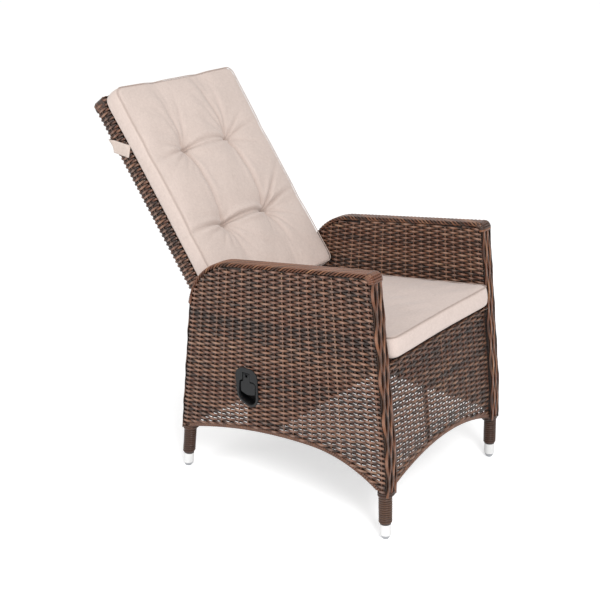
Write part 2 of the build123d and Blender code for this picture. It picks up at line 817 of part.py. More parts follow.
def pivot_bush(side):
    """Flanged bush pressed in a stile's cross hole."""
    inner, outer = stile_x - stile / 2, stile_x + stile / 2
    body = bar_x(bush_diameter / 2, pivot_reach, pivot_height, *sorted((side * inner, side * outer)))
    body += bar_x(bush_flange_diameter / 2, pivot_reach, pivot_height,
                  *sorted((side * outer, side * (outer + bush_flange))))
    bore = pivot_bolt_diameter / 2 + fit_gap
    return body - bar_x(bore, pivot_reach, pivot_height, -overall_width, overall_width)


def pivot_spacer(side):
    """Spacer between the bush's flange and the lug."""
    inner = stile_x + stile / 2 + bush_flange + snug
    ring = Circle(spacer_diameter / 2) - Circle(pivot_bolt_diameter / 2 + fit_gap)
    return prism_x(Pos(pivot_reach, pivot_height) * ring, *sorted((side * inner, side * pivot_plate_inner)))


def low_circles(grow):
    """The two circles that the lower end of the bezel wraps round."""
    return [(handle_low_front, handle_low_front_height, handle_low_front_round + grow),
            (handle_low_rear, handle_low_rear_height, handle_low_rear_round + grow)]


def bezel_outline(grow):
    """Egg-shaped outline of the handle's bezel."""
    return hull_of([(handle_front, handle_top, handle_top_round + grow),
                    (handle_rear, handle_top, handle_top_round + grow)] + low_circles(grow))


def pocket_corners(gap):
    """The two upper corners of the finger pocket, drawn in by a gap."""
    return [(pocket_front, pocket_top - pocket_front_round, pocket_front_round - gap),
            (pocket_rear, pocket_top - pocket_rear_round, pocket_rear_round - gap)]


def pocket_outline():
    """Finger pocket of the bezel, with the slot that the paddle's neck lies in."""
    pocket = hull_of(pocket_corners(0) + low_circles(-pocket_rim))
    slot_top = paddle_axis_height + paddle_barrel / 2 + paddle_slot_gap
    slot_low = pocket_top - pocket_rear_round
    height = slot_top - slot_low
    return pocket + Pos(neck_middle, slot_low + height / 2) * Rectangle(neck_slot_width, height)


handle_face = -overall_width / 2
paddle_axis_x = handle_face + paddle_axis_depth


def handle_bezel():
    """Moulded bezel with its cup behind the woven panel and a boss for the cable."""
    flange = prism_x(bezel_outline(0), handle_face - bezel_flange, handle_face - snug)
    flange = chamfer(flange.faces().sort_by(Axis.X)[0].edges(), bezel_edge)
    cup = prism_x(bezel_outline(-bezel_rim), handle_face - snug, handle_face + bezel_depth)
    body = flange + cup
    body -= prism_x(pocket_outline(), handle_face - overrun, handle_face + pocket_depth)
    body += bar_x(cable_boss_diameter / 2, neck_middle, cable_height,
                  handle_face + bezel_depth, handle_face + bezel_depth + cable_boss_length)
    half = neck_slot_width / 2 + paddle_pin_overhang
    return body - handle_pin_bar(half, paddle_pin_diameter / 2 + fit_gap)


def handle_pin_bar(half, radius):
    """Bar on the paddle's hinge line."""
    return rod_between((paddle_axis_x, neck_middle - half, paddle_axis_height),
                       (paddle_axis_x, neck_middle + half, paddle_axis_height), radius)


def handle_paddle():
    """Paddle that fingers pull outwards, with its neck and hinge barrel."""
    corners = pocket_corners(paddle_gap)
    lower = [(y, paddle_corner, radius) for y, _, radius in corners]
    middle = (corners[0][0] + corners[1][0]) / 2
    face = hull_of(corners + lower + [(middle, paddle_low + paddle_low_round, paddle_low_round)])
    neck_low = pocket_top - pocket_rear_round
    neck_height = paddle_axis_height - neck_low
    face += Pos(neck_middle, neck_low + neck_height / 2) * Rectangle(paddle_neck_width, neck_height)
    outer = handle_face - paddle_proud
    plate = prism_x(face, outer, outer + paddle_thickness)
    plate = chamfer(plate.faces().sort_by(Axis.X)[0].edges(), bezel_edge)
    barrel = handle_pin_bar(paddle_neck_width / 2, paddle_barrel / 2)
    gap = handle_pin_bar(paddle_spring_length / 2 + fit_gap, paddle_barrel)
    body = plate + barrel - gap
    body -= handle_pin_bar(overrun, paddle_pin_diameter / 2 + fit_gap)
    return body


def handle_pin():
    """Hinge pin of the paddle."""
    return handle_pin_bar(neck_slot_width / 2 + paddle_pin_overhang - snug, paddle_pin_diameter / 2)


def handle_spring():
    """Return spring's coil on the hinge pin, as a sleeve."""
    half = paddle_spring_length / 2 - snug
    return (handle_pin_bar(half, paddle_spring_diameter / 2)
            - handle_pin_bar(half + overrun, paddle_pin_diameter / 2 + snug))


def release_cable():
    """Outer cable from the handle's boss to the stop on the spring's head."""
    start_x = handle_face + bezel_depth + cable_boss_length + fit_gap
    end = strut.from_local_coords((0, -release_lever_drop, head_length + cable_end_gap))
    last = strut.from_local_coords((0, -release_lever_drop, head_length + cable_end_gap + cable_last_run))
    route = [
        (start_x, neck_middle, cable_height),
        *cable_bends,
        tuple(last),
        tuple(end),
    ]
    points = [Vector(*p) for p in route]
    radii = []
    for a, b, c in zip(points, points[1:], points[2:]):
        turn = radians((b - a).get_angle(c - b))
        radii.append(cable_bend_share * min((b - a).length, (c - b).length) / tan(turn / 2))
    path = FilletPolyline(*route, radius=radii)
    section = Plane(origin=path @ 0, z_dir=path % 0) * Circle(cable_diameter / 2)
    cable = sweep(section, path=path)
    print("cable radii", [round(r, 1) for r in radii])
    print("cable length", round(path.length, 1), "volume ratio",
          round(cable.volume / (pi * (cable_diameter / 2) ** 2 * path.length), 5))
    return cable


def quarter_round(run, radius):
    """How far a rounded corner is drawn in at a run from its end."""
    left = max(radius - run, 0)
    return radius - sqrt(radius * radius - left * left)


def boxed_cushion(plane, length, edge, stations, top_of):
    """Loft of a boxed cushion along its plane's normal: flat below, corners rounded, sides drawn in.

    The stations lie closer together near both ends, as equal steps round a half circle do. At each,
    top_of(share) gives the knots of the top, as (x, rise over the edge), and the rises of its arcs.
    """
    sections = []
    for station in range(stations + 1):
        share = (1 - cos(pi * station / stations)) / 2
        run = length * min(share, 1 - share)
        tuck = quarter_round(run, cushion_corner_radius) + cushion_draw_depth * sin(pi * share)
        half = cushion_half_width - cushion_bulge_depth - tuck
        height = edge - quarter_round(run, cushion_nose_radius)
        knots, rises = top_of(station, share)
        stops = [(half, height)] + [(x, height + rise) for x, rise in knots] + [(-half, height)]
        bulge = half + cushion_bulge_depth
        lines = [Line((-half, 0), (half, 0)),
                 ThreePointArc((half, 0), (bulge, height / 2), (half, height))]
        for (x0, z0), (x1, z1), rise in zip(stops, stops[1:], rises):
            lines.append(ThreePointArc((x0, z0), ((x0 + x1) / 2, (z0 + z1) / 2 + rise), (x1, z1)))
        lines.append(ThreePointArc((-half, height), (-bulge, height / 2), (-half, 0)))
        sections.append(plane.offset(length * share) * make_face(lines))
    return loft(sections)


def crown_at(share, crown):
    """Height of a cushion's crown along it: flat in the middle, and steep near both ends."""
    return crown * (1 - (2 * share - 1) ** 4) + fit_gap


def seat_cushion():
    """Boxed seat cushion with a crowned top."""
    plane = Plane(origin=(0, -seat_cushion_front, seat_z(-seat_cushion_front) + snug),
                  x_dir=(-1, 0, 0), z_dir=(0, 1, -seat_tan))
    length = (seat_cushion_front + seat_cushion_rear) / cos(radians(seat_pitch))

    def top_of(_, share):
        return [], [crown_at(share, seat_cushion_crown)]

    return boxed_cushion(plane, length, seat_cushion_edge, seat_cushion_stations, top_of)


def back_cushion():
    """Boxed back cushion with four sewn tufts, creased between them and puffed beside them."""
    plane = Plane(origin=back.from_local_coords((0, back_cushion_start, back_thickness / 2 + snug)),
                  x_dir=(-1, 0, 0), z_dir=(0, back_sin, back_cos))
    spread_share = tuft_spread / cushion_half_width

    def top_of(station, share):
        crown = crown_at(share, back_cushion_crown)
        tufted = station in tuft_stations
        pull = (tuft_depth if tufted else crease_depth) * sin(pi * share)
        puff = (tuft_puff if tufted else crease_puff) * sin(pi * share)
        at_knot = crown * (1 - spread_share ** 2)
        arch = crown * spread_share ** 2
        knots = [(tuft_spread, at_knot - pull), (-tuft_spread, at_knot - pull)]
        return knots, [arch + puff, arch + puff, arch + puff]

    return boxed_cushion(plane, back_cushion_end - back_cushion_start, back_cushion_edge,
                         back_cushion_stations, top_of)


def cushion_strap():
    """Fabric strap that holds the back cushion on, slanting up the sides and straight across the rear."""
    front = back_thickness / 2
    rear = -back_thickness / 2 - snug
    side_face = make_face(Polyline(
        (strap_rise_front, front), (strap_rise_front + strap_width, front),
        (strap_rise_rear + strap_width, rear - strap_thickness), (strap_rise_rear, rear - strap_thickness),
        (strap_rise_front, front)))
    inner = back_width / 2 + snug
    strap = Pos(0, strap_rise_rear + strap_width / 2, rear - strap_thickness / 2) * Box(
        2 * inner, strap_width, strap_thickness)
    for side in SIDES.values():
        low, high = sorted((side * inner, side * (inner + strap_thickness)))
        strap += prism_x(side_face, low, high)
    return back * strap


def build():
    """Make every piece and write it."""
    for name, side in SIDES.items():
        save("front_leg_" + name, front_leg(side))
        save("arm_rail_" + name, arm_rail(side))
        save("side_wicker_" + name, side_wicker(side))
        save("side_arch_rod_" + name, side_arch_rod(side))
        save("seat_side_rail_" + name, seat_side_rail(side))
        save("pivot_plate_" + name, pivot_plate(side))
        for place, front in (("front", True), ("rear", False)):
            save("foot_" + place + "_" + name, foot(side, front))
            save("leg_wrap_" + place + "_" + name, leg_wrap(side, front))
    both = list(SIDES.values())
    corners = [(side, front) for side in both for front in (True, False)]
    save("front_apron_wicker", front_apron())
    save("front_arch_rod", front_arch_rod())
    save("seat_front_rail", seat_front_rail())
    save("seat_middle_rail", cross_rail(-spring_front_reach, rail))
    save("seat_rear_rail", cross_rail(rear_rail_reach, rear_rail))
    save("seat_panel_wicker", seat_panel())
    save("seat_brackets", Compound([seat_bracket(*corner) for corner in corners]))
    save("frame_bolts", Compound([frame_bolt(*corner) for corner in corners]))
    save("back_tube", back_tube())
    save("back_lower_rail", back_lower_rail())
    save("back_wicker", back_wicker())
    save("pivot_bolts", Compound([pivot_bolt(side) for side in both]))
    save("pivot_bushes", Compound([pivot_bush(side) for side in both]))
    save("pivot_spacers", Compound([pivot_spacer(side) for side in both]))
    save("spring_lever", spring_lever())
    save("lever_pin", lever_pin())
    save("spring_eye", spring_eye())
    save("gas_cylinder", gas_cylinder())
    save("gas_rod", gas_rod())
    save("release_head", release_head())
    save("release_lever", release_lever())
    save("release_lever_axle", release_lever_axle(0, head_width))
    save("release_pin", release_pin())
    save("spring_bracket", spring_bracket())
    save("spring_bracket_pin", spring_bracket_pin())
    save("handle_bezel", handle_bezel())
    save("handle_paddle", handle_paddle())
    save("handle_pin", handle_pin())
    save("handle_spring", handle_spring())
    save("release_cable", release_cable())
    save("seat_cushion", seat_cushion())
    save("back_cushion", back_cushion())
    save("cushion_strap", cushion_strap())


build()
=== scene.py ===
"""Reclining garden armchair: its woven resin, cushions, finishes, light and camera.

All lengths are in metres, in the frame of the CAD model: the sitter faces -Y and +Z is up.
"""
import json
from functools import partial
from math import cos, pi, radians, sin, tan

import bpy
import numpy as np
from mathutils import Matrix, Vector

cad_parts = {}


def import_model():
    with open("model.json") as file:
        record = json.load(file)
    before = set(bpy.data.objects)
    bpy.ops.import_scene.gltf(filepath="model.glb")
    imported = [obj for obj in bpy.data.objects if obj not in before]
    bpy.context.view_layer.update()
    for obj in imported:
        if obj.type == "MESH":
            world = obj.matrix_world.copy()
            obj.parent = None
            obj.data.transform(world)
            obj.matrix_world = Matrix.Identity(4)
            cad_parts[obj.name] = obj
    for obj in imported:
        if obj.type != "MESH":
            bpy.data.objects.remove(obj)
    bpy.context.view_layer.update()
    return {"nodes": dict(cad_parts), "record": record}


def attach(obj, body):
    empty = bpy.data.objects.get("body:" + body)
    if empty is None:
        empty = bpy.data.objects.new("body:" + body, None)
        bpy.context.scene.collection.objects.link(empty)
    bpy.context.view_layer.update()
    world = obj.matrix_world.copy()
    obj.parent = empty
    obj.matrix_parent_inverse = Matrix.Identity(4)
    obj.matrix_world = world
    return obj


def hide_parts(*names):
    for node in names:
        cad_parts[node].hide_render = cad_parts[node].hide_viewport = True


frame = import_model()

# Side frames: the tubes' centre line as (y, z) points, and the skin round it
FRONT_FOOT = (-0.324, 0.0)
FRONT_KNEE = (-0.317, 0.215)
ARM_FRONT = (-0.262, 0.654)
ARM_REAR = (0.256, 0.590)
REAR_FOOT = (0.323, 0.0)
KNEE_ROUND = 0.9
ARM_REAR_ROUND = 0.137
ARM_FRONT_ROUND = 0.013
TUBE_X = 0.2707
SKIN_REACH = 0.0168
SKIN_INNER = 0.2455
SKIN_OUTER = 0.2872
SKIN_MIDDLE = (SKIN_INNER + SKIN_OUTER) / 2
SKIN_BOTTOM = 0.119
FOOT_TOP = 0.041

# Arches of the lower edges
ARCH_APEX = (-0.105, 0.191)
ARCH_FRONT_HEIGHT = 0.133
ARCH_REAR_HEIGHT = 0.131
WRAP_REACH = 0.0175
APRON_ARCH_APEX = 0.171
APRON_ARCH_END = 0.127
APRON_SET = 0.0055

# Weave. Relief is how far the rows and the stakes swing out from the middle of a face.
STRAND_WIDTH = 0.0063
STRAND_THICKNESS = 0.0030
STAKE_WIDTH = 0.0042
STAKE_THICKNESS = 0.0022
ROW_PITCH = 0.00645
SIDE_BOTTOM = 0.100
SIDE_ROWS = 92
SIDE_COLUMNS = 21
PAST_LEGS = 0.6
FRONT_ROW_PITCH = 0.00672
FRONT_ROW_WIDTH = 0.0067
FRONT_ROWS = 54
FRONT_BOTTOM = 0.112
FRONT_COLUMNS = 17
FRONT_HALF = 0.2425
SEAT_ROW_PITCH = 0.0066
SEAT_ROWS = 80
SEAT_WEAVE_FRONT = -0.306
SEAT_WEAVE_REAR = 0.2145
SEAT_WEAVE_DROP = 0.0033
BACK_ROW_PITCH = 0.0065
BACK_COLUMNS = 36
ROW_RELIEF = {"outer": 0.0028, "inner": 0.0020, "front": 0.0023, "seat": 0.0011, "back": 0.0020}
STAKE_RELIEF = {"outer": 0.0015, "inner": 0.0011, "front": 0.0008, "seat": 0.0007, "back": 0.0007}
SHORTEST_ROW = 0.2
SHADE_SHEET_THICKNESS = 0.0018

# Edge strips, arm tops and windings
STRIP_PITCH = 0.0090
STRIP_SWING = 0.0032
STRIP_WAVE = 0.104
STRIP_FLAT = 0.0165
PLAIT_STRANDS = 14
PLAIT_WAVE = 0.165
PLAIT_HALF = 0.0268
BACK_PLAIT_STRANDS = 12
BACK_PLAIT_WAVE = 0.150
BINDING_PITCH = 0.0052
WINDING_PITCH = 0.0066
WINDING_WIDTH = 0.0064

# Seat plane, hinge and backrest
SEAT_FRONT = (-0.296, 0.449)
SEAT_PITCH = radians(6.2)
HINGE = (0.259, 0.437)
BACK_SLOPE = radians(35.5)
BACK_HALF = 0.237
BACK_START = 0.0135
BACK_LENGTH = 0.657
BACK_HALF_DEPTH = 0.024

SIDES = {"right": -1, "left": 1}


# Small geometry helpers


def unit(vectors):
    """Each vector over its own length."""
    return vectors / np.maximum(np.linalg.norm(vectors, axis=-1, keepdims=True), 1e-12)


def lengths(points):
    """Distance along a line of points, at each of them."""
    return np.concatenate(([0], np.cumsum(np.linalg.norm(np.diff(points, axis=0), axis=1))))


def sampled(stops, run, values):
    """The columns of values, known at the distances of run, at the stops between them."""
    return np.stack([np.interp(stops, run, column) for column in values.T], axis=1)


def bell(distance, width):
    """1 on the line and falling off on both sides: exp(-(distance / width)^2)."""
    return np.exp(-(distance / width) ** 2)


def on_line(p, q, height):
    """The y at a height on the line from p to q: p plus the share of the height run."""
    return p[0] + (q[0] - p[0]) * (height - p[1]) / (q[1] - p[1])


def front_leg_y(z):
    """Centre of the front leg at a height, on one line below the knee and another above it."""
    z = np.asarray(z, float)
    return np.where(z < FRONT_KNEE[1], on_line(FRONT_FOOT, FRONT_KNEE, z), on_line(FRONT_KNEE, ARM_FRONT, z))


def rear_leg_y(z):
    """Centre of the rear leg at a height, on the line from the arm's rear to the foot."""
    return on_line(ARM_REAR, REAR_FOOT, np.asarray(z, float))


def seat_z(y):
    """Height of the seat plane, which falls to the rear by the tangent of its pitch."""
    return SEAT_FRONT[1] - tan(SEAT_PITCH) * (np.asarray(y, float) - SEAT_FRONT[0])


def moved_route(points, distances):
    """The route of points with each run moved to its left by its own distance, corners where runs cross."""
    points = [np.array(p, float) for p in points]
    runs = []
    for p, q, distance in zip(points, points[1:], distances):
        along = unit(q - p)
        runs.append((p + distance * np.array((-along[1], along[0])), along))
    end, along = runs[-1]
    out = [runs[0][0]]
    for (p, u), (q, v) in zip(runs, runs[1:]):
        gap = q - p
        out.append(p + u * (gap[0] * v[1] - gap[1] * v[0]) / (u[0] * v[1] - u[1] * v[0]))
    out.append(end + along * np.linalg.norm(points[-1] - points[-2]))
    return out


def rounded_route(points, radii, step):
    """The route with each inner corner turned by an arc that touches both runs, as points a step apart."""
    points = [np.array(p, float) for p in points]
    parts = [points[0][None]]
    for before, corner, after, radius in zip(points, points[1:], points[2:], radii):
        u, v = unit(corner - before), unit(after - corner)
        turn = np.arctan2(u[0] * v[1] - u[1] * v[0], u @ v)
        reach = radius * tan(abs(turn) / 2)
        start = corner - u * reach
        left = np.array((-u[1], u[0])) * np.sign(turn)
        angle = np.linspace(0, abs(turn), 24)[:, None]
        parts.append(start + u * radius * np.sin(angle) + left * radius * (1 - np.cos(angle)))
    parts.append(points[-1][None])
    return even_steps(np.vstack(parts), step)


def even_steps(points, step):
    """Points an even step apart along a line of points."""
    run = lengths(points)
    return sampled(np.linspace(0, run[-1], max(int(round(run[-1] / step)), 2) + 1), run, points)


def route_frame(points):
    """Distance along a route, its direction and the direction to its left, at each point."""
    along = unit(np.gradient(points, axis=0))
    return lengths(points), along, np.stack((-along[:, 1], along[:, 0]), axis=1)


def side_route(distances, corner, step, bottom=SKIN_BOTTOM):
    """Up the front leg, over the arm and down the rear leg, each run moved outwards."""
    low = (on_line(FRONT_FOOT, FRONT_KNEE, bottom), bottom)
    end = (on_line(ARM_REAR, REAR_FOOT, bottom), bottom)
    route = moved_route([low, FRONT_KNEE, ARM_FRONT, ARM_REAR, end], distances)
    return rounded_route(route, (KNEE_ROUND, corner, ARM_REAR_ROUND + distances[2]), step)


def arch_z(y, front, rear, apex):
    """Height of an arch of two arcs that are level where they meet at the apex."""
    y = np.asarray(y, float)
    end_y, end_z = np.where(y < apex[0], front[0], rear[0]), np.where(y < apex[0], front[1], rear[1])
    drop, reach = apex[1] - end_z, end_y - apex[0]
    radius = (drop ** 2 + reach ** 2) / (2 * drop)
    return apex[1] - radius + np.sqrt(np.maximum(radius ** 2 - (y - apex[0]) ** 2, 0))


def side_arch_z(y):
    """Lower edge of a side panel."""
    front = (float(front_leg_y(ARCH_FRONT_HEIGHT)) + WRAP_REACH, ARCH_FRONT_HEIGHT)
    rear = (float(rear_leg_y(ARCH_REAR_HEIGHT)) - WRAP_REACH, ARCH_REAR_HEIGHT)
    return arch_z(y, front, rear, ARCH_APEX)


def apron_arch_z(x):
    """Lower edge of the front panel, one arc between the legs."""
    return arch_z(x, (-0.243, APRON_ARCH_END), (0.243, APRON_ARCH_END), (0.0, APRON_ARCH_APEX))


def inside(outline, y, z):
    """True where a point lies in a closed outline: a line to its right crosses the edges an odd number of times."""
    ay, az = outline[:, 0], outline[:, 1]
    by, bz = np.roll(ay, -1), np.roll(az, -1)
    y, z = y[:, None], z[:, None]
    spans = (az > z) != (bz > z)
    with np.errstate(divide="ignore", invalid="ignore"):
        hit = y < (by - ay) * (z - az) / (bz - az) + ay
    return (np.count_nonzero(spans & hit, axis=1) % 2) == 1


def in_hull(circles, grow, y, z):
    """True inside the outline stretched round circles: below its tangent line in every direction."""
    angle = np.linspace(0, 2 * pi, 48, endpoint=False)
    direction = np.stack((np.cos(angle), np.sin(angle)))
    reach = np.max(circles[:, :2] @ direction + circles[:, 2:], axis=0) + grow
    return np.all(np.stack((y, z), axis=1) @ direction <= reach, axis=1)


# Strands

FLAT_STRAND = np.array([(1.0, 0.0), (0.62, 0.9), (-0.62, 0.9), (-1.0, 0.0), (-0.62, -0.9), (0.62, -0.9)])
STRIP_STRAND, STRIP_BACKING, STRIP_BACKING_PITCH = (0.0076, 0.0032), (0.0092, 0.0014), 0.0088
PLAIT_STRAND, PLAIT_DEPTH, BINDING_STRAND, BINDING_HALF = (0.0042, 0.0034), 0.0024, (0.0056, 0.0026), 0.0275
BACK_PLAIT_STRAND, BACK_PLAIT_DEPTH, BACK_PLAIT_HALF = (0.0062, 0.0022), 0.0012, 0.0205


class Strands:
    """Gathers strands into one mesh. Each strand carries a closed profile along a line of points."""

    def __init__(self, name, seed):
        self.name = name
        self.random = np.random.default_rng(seed)
        self.points, self.faces = [], []
        self.run, self.across, self.tone, self.crest = [], [], [], []
        self.count = 0

    def add(self, path, facing, width, thickness, profile=FLAT_STRAND, closed=False, crest=0.8):
        """Vertex = point + side * (profile x * width / 2) + facing * (profile y * thickness / 2).

        facing is one direction, or one for each point. crest is 1 where the strand stands out and 0
        where it dives under its neighbours: the finish paints shade where it is low and a highlight where it is near
        1.
        """
        if closed:
            along = unit(np.roll(path, -1, axis=0) - np.roll(path, 1, axis=0))
        else:
            along = unit(np.gradient(path, axis=0))
        aside = unit(np.cross(along, facing))
        facing = np.cross(aside, along)
        steps, corners = len(path), len(profile)
        rim = (path[:, None] + aside[:, None] * (profile[:, 0] * width / 2)[None, :, None]
               + facing[:, None] * (profile[:, 1] * thickness / 2)[None, :, None])
        ring = np.arange(steps if closed else steps - 1)[:, None]
        j = np.arange(corners)[None]
        a = ring * corners + j
        b = (ring + 1) % steps * corners + j
        turn = (j + 1) % corners
        quads = np.stack((a, b, (ring + 1) % steps * corners + turn, ring * corners + turn), axis=-1)
        faces = [quads.reshape(-1, 4)]
        if not closed:
            half = np.arange(corners // 2 - 1)
            start = np.stack((half, half + 1, corners - 2 - half, corners - 1 - half), axis=1)
            faces += [start, start[:, ::-1] + (steps - 1) * corners]
        self.faces.append(np.vstack(faces) + self.count)
        self.points.append(rim.reshape(-1, 3))
        self.run.append(np.repeat(lengths(path) + self.random.uniform(0, 40), corners))
        self.across.append(np.tile(profile[:, 0], steps))
        self.tone.append(np.full(steps * corners, self.random.uniform()))
        self.crest.append(np.repeat(np.broadcast_to(crest, steps).astype(float), corners))
        self.count += steps * corners

    def make(self, *replaced, body="frame", slot="woven_resin", material=None):
        """The mesh object, riding on a body and standing for the CAD nodes it replaces."""
        mesh = mesh_from(self.name, np.vstack(self.points), np.vstack(self.faces))
        for label in ("run", "across", "tone", "crest"):
            carry(mesh, label, np.concatenate(getattr(self, label)))
        mesh.materials.append(material or RESIN)
        piece = linked(mesh.name, mesh)
        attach(piece, body)
        if replaced:
            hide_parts(*replaced)
        return piece


def linked(name, data):
    """A new object in the scene."""
    made = bpy.data.objects.new(name, data)
    bpy.context.scene.collection.objects.link(made)
    return made


def carry(mesh, label, values):
    """Gives each point of a mesh a number, which a finish can read."""
    mesh.attributes.new(label, "FLOAT", "POINT").data.foreach_set("value", np.asarray(values, np.float32))


def mesh_from(name, points, quads):
    """A smooth mesh of quads from arrays of points and corner numbers."""
    mesh = bpy.data.meshes.new(name)
    mesh.vertices.add(len(points))
    mesh.vertices.foreach_set("co", np.asarray(points, np.float32).ravel())
    mesh.loops.add(quads.size)
    mesh.loops.foreach_set("vertex_index", quads.ravel().astype(np.int32))
    mesh.polygons.add(len(quads))
    mesh.polygons.foreach_set("loop_start", np.arange(0, quads.size, 4, dtype=np.int32))
    mesh.polygons.foreach_set("use_smooth", np.ones(len(quads), bool))
    mesh.update(calc_edges=True)
    mesh.validate()
    return mesh


def shown_runs(mask):
    """First and last index of each unbroken stretch of True that is at least three long."""
    edges = np.flatnonzero(np.diff(np.concatenate(([0], mask.astype(int), [0]))))
    return [(a, b - 1) for a, b in zip(edges[::2], edges[1::2]) if b - a > 2]


def plain_weave(strands, place, facing, trial, rows, shown, relief, per_column=4, past=0.0, width=STRAND_WIDTH,
                crest=(0.5, 0.5)):
    """Rows over one stake and under the next, at depth relief * cos(pi * column), turned over on odd rows.

    place(column, row) gives points, and shown(x, y, z) tells which of them are in the panel: it is
    asked at the trial columns less past, which is how far the rows run on beyond the outer stakes.
    crest is given as its middle and its swing.
    """
    for row in range(rows):
        for a, b in shown_runs(shown(*place(trial - past, np.full_like(trial, row)).T)):
            low, high = trial[a], trial[b]
            if high - low < SHORTEST_ROW:
                continue
            column = np.linspace(low, high, max(int(round((high - low) * per_column)), 2) + 1) - past
            wave = (-1) ** row * np.cos(pi * column)
            points = place(column, np.full_like(column, row))
            strands.add(points + (relief * wave)[:, None] * facing, facing, width, STRAND_THICKNESS,
                        crest=crest[0] + crest[1] * wave)


def plain_stakes(strands, place, facing, columns, rows, shown, relief):
    """Stakes that lean a little in under a row and out over the next."""
    row = np.arange(rows, dtype=float)
    for column in range(columns + 1):
        points = place(np.full_like(row, column), row)
        for a, b in shown_runs(shown(*points.T)):
            lean = -(-1) ** (row[a:b + 1] + column)
            strands.add(points[a:b + 1] + (relief * lean)[:, None] * facing, facing, STAKE_WIDTH, STAKE_THICKNESS,
                        crest=0.45 + 0.3 * lean)


def winding(strands, centre, out, aside, radii, pitch, width, thickness, points_per_turn=10, crest=0.7):
    """A strand wound round a line: centre + out * r1 * cos(turn) + aside * r2 * sin(turn)."""
    run = lengths(centre)
    stops = np.linspace(0, run[-1], int(run[-1] / pitch * points_per_turn))
    turn = (2 * pi * stops / pitch)[:, None]
    aside = sampled(stops, run, np.broadcast_to(aside, centre.shape))
    swing = out * radii[0] * np.cos(turn) + aside * radii[1] * np.sin(turn)
    facing = out / radii[0] * np.cos(turn) + aside / radii[1] * np.sin(turn)
    strands.add(sampled(stops, run, centre) + swing, unit(facing), width, thickness, crest=crest)


def folded_band(side, spot, out, across, depth, flat=0.0155, fold=0.0055):
    """Points and facings on a band that folds down round both its edges, at spots with outward directions.

    Over the flat middle x moves with the distance across. Past it the band turns through a quarter
    circle, and then runs straight down the outer or inner face.
    """
    sign = np.sign(across)
    past = np.clip(np.abs(across) - flat, 0, None)
    angle = np.clip(past / fold, 0, pi / 2)
    straight = np.clip(past - fold * pi / 2, 0, None)
    x = SKIN_MIDDLE + sign * (np.minimum(np.abs(across), flat) + fold * np.sin(angle))
    sink = -fold * (1 - np.cos(angle)) - straight
    face_x, face_out = sign * np.sin(angle), np.cos(angle)
    points = np.column_stack((side * (x + depth * face_x), spot + (sink + depth * face_out)[:, None] * out))
    return points, np.column_stack((side * face_x, face_out[:, None] * out))


# Finishes


class Signal:
    """A node's output socket. Arithmetic on it adds Math nodes, and so does a number before it."""

    def __init__(self, nodes, socket):
        self.nodes, self.socket = nodes, socket

    def _math(self, operation, first, second):
        return self.nodes.node("Math", {"operation": operation}, {0: first, 1: second})

    def __add__(self, other):
        return self._math("ADD", self, other)

    def __sub__(self, other):
        return self._math("SUBTRACT", self, other)

    def __rsub__(self, other):
        return self._math("SUBTRACT", other, self)

    def __mul__(self, other):
        return self._math("MULTIPLY", self, other)

    __radd__ = __add__
    __rmul__ = __mul__


class Nodes:
    """A node tree that starts empty. What its nodes give are Signals."""

    def __init__(self, tree):
        self.tree = tree
        tree.nodes.clear()

    def feed(self, socket, value):
        """Links a signal to a socket, or sets the socket's own value."""
        if isinstance(value, Signal):
            self.tree.links.new(value.socket, socket)
        elif socket.type == "RGBA":
            socket.default_value = (*value[:3], 1)
        else:
            socket.default_value = value

    def node(self, kind, settings=None, inputs=None, out=0):
        """Adds a node: its settings first, then its inputs, and gives one of its outputs."""
        made = self.tree.nodes.new("ShaderNode" + kind)
        for key, value in (settings or {}).items():
            if key == "stops":
                stops = made.color_ramp.elements
                while len(stops) > 1:
                    stops.remove(stops[-1])
                stops[0].position, stops[0].color = value[0][0], (*value[0][1], 1)
                for place, colour in value[1:]:
                    stops.new(place).color = (*colour, 1)
            else:
                setattr(made, key, value)
        for key, value in (inputs or {}).items():
            self.feed(made.inputs[key], value)
        return Signal(self, made.outputs[out]) if len(made.outputs) else None


class Finish(Nodes):
    """A material. Plain values go on the shader's sockets, and varying ones are fed by wear()."""

    def __init__(self, name, **plain):
        self.material = bpy.data.materials.new(name)
        self.material.use_nodes = True
        super().__init__(self.material.node_tree)
        self.shader = self.tree.nodes.new("ShaderNodeBsdfPrincipled")
        self.surface = self.tree.nodes.new("ShaderNodeOutputMaterial").inputs["Surface"]
        self.feed(self.surface, Signal(self, self.shader.outputs[0]))
        for key, value in plain.items():
            self.feed(self.shader.inputs[key.replace("_", " ").title().replace("Ior", "IOR")], value)

    def mix(self, factor, first, second):
        """One colour over another."""
        return self.node("Mix", {"data_type": "RGBA"}, {0: factor, 6: first, 7: second}, 2)

    def ramp(self, value, low, high, at_low, at_high, kind="LINEAR"):
        """The value moved from one range into another, and held at its ends."""
        return self.node("MapRange", {"interpolation_type": kind}, {0: value, 1: low, 2: high, 3: at_low, 4: at_high})

    def noise(self, vector, scale, detail=2.0, roughness=0.5):
        """Soft random values from 0 to 1."""
        return self.node("TexNoise", None, {"Vector": vector, "Scale": scale, "Detail": detail,
                                            "Roughness": roughness}, "Fac")

    def vector(self, x, y, z):
        """Three values as one vector."""
        return self.node("CombineXYZ", None, {0: x, 1: y, 2: z})

    def place(self):
        """The piece's own coordinates, in metres."""
        return self.node("TexCoord", None, None, "Object")

    def attribute(self, name):
        """A number that the mesh carries at its points."""
        return self.node("Attribute", {"attribute_name": name}, None, "Fac")

    def vary(self, colour, roughness, height, depth, strength=1.0):
        """Feeds what changes over the surface to the colour, the roughness (unless None) and the bump."""
        self.feed(self.shader.inputs["Base Color"], colour)
        if roughness is not None:
            self.feed(self.shader.inputs["Roughness"], roughness)
        bump = self.node("Bump", None, {"Strength": strength, "Distance": depth, "Height": height})
        self.feed(self.shader.inputs["Normal"], bump)
        return self.material


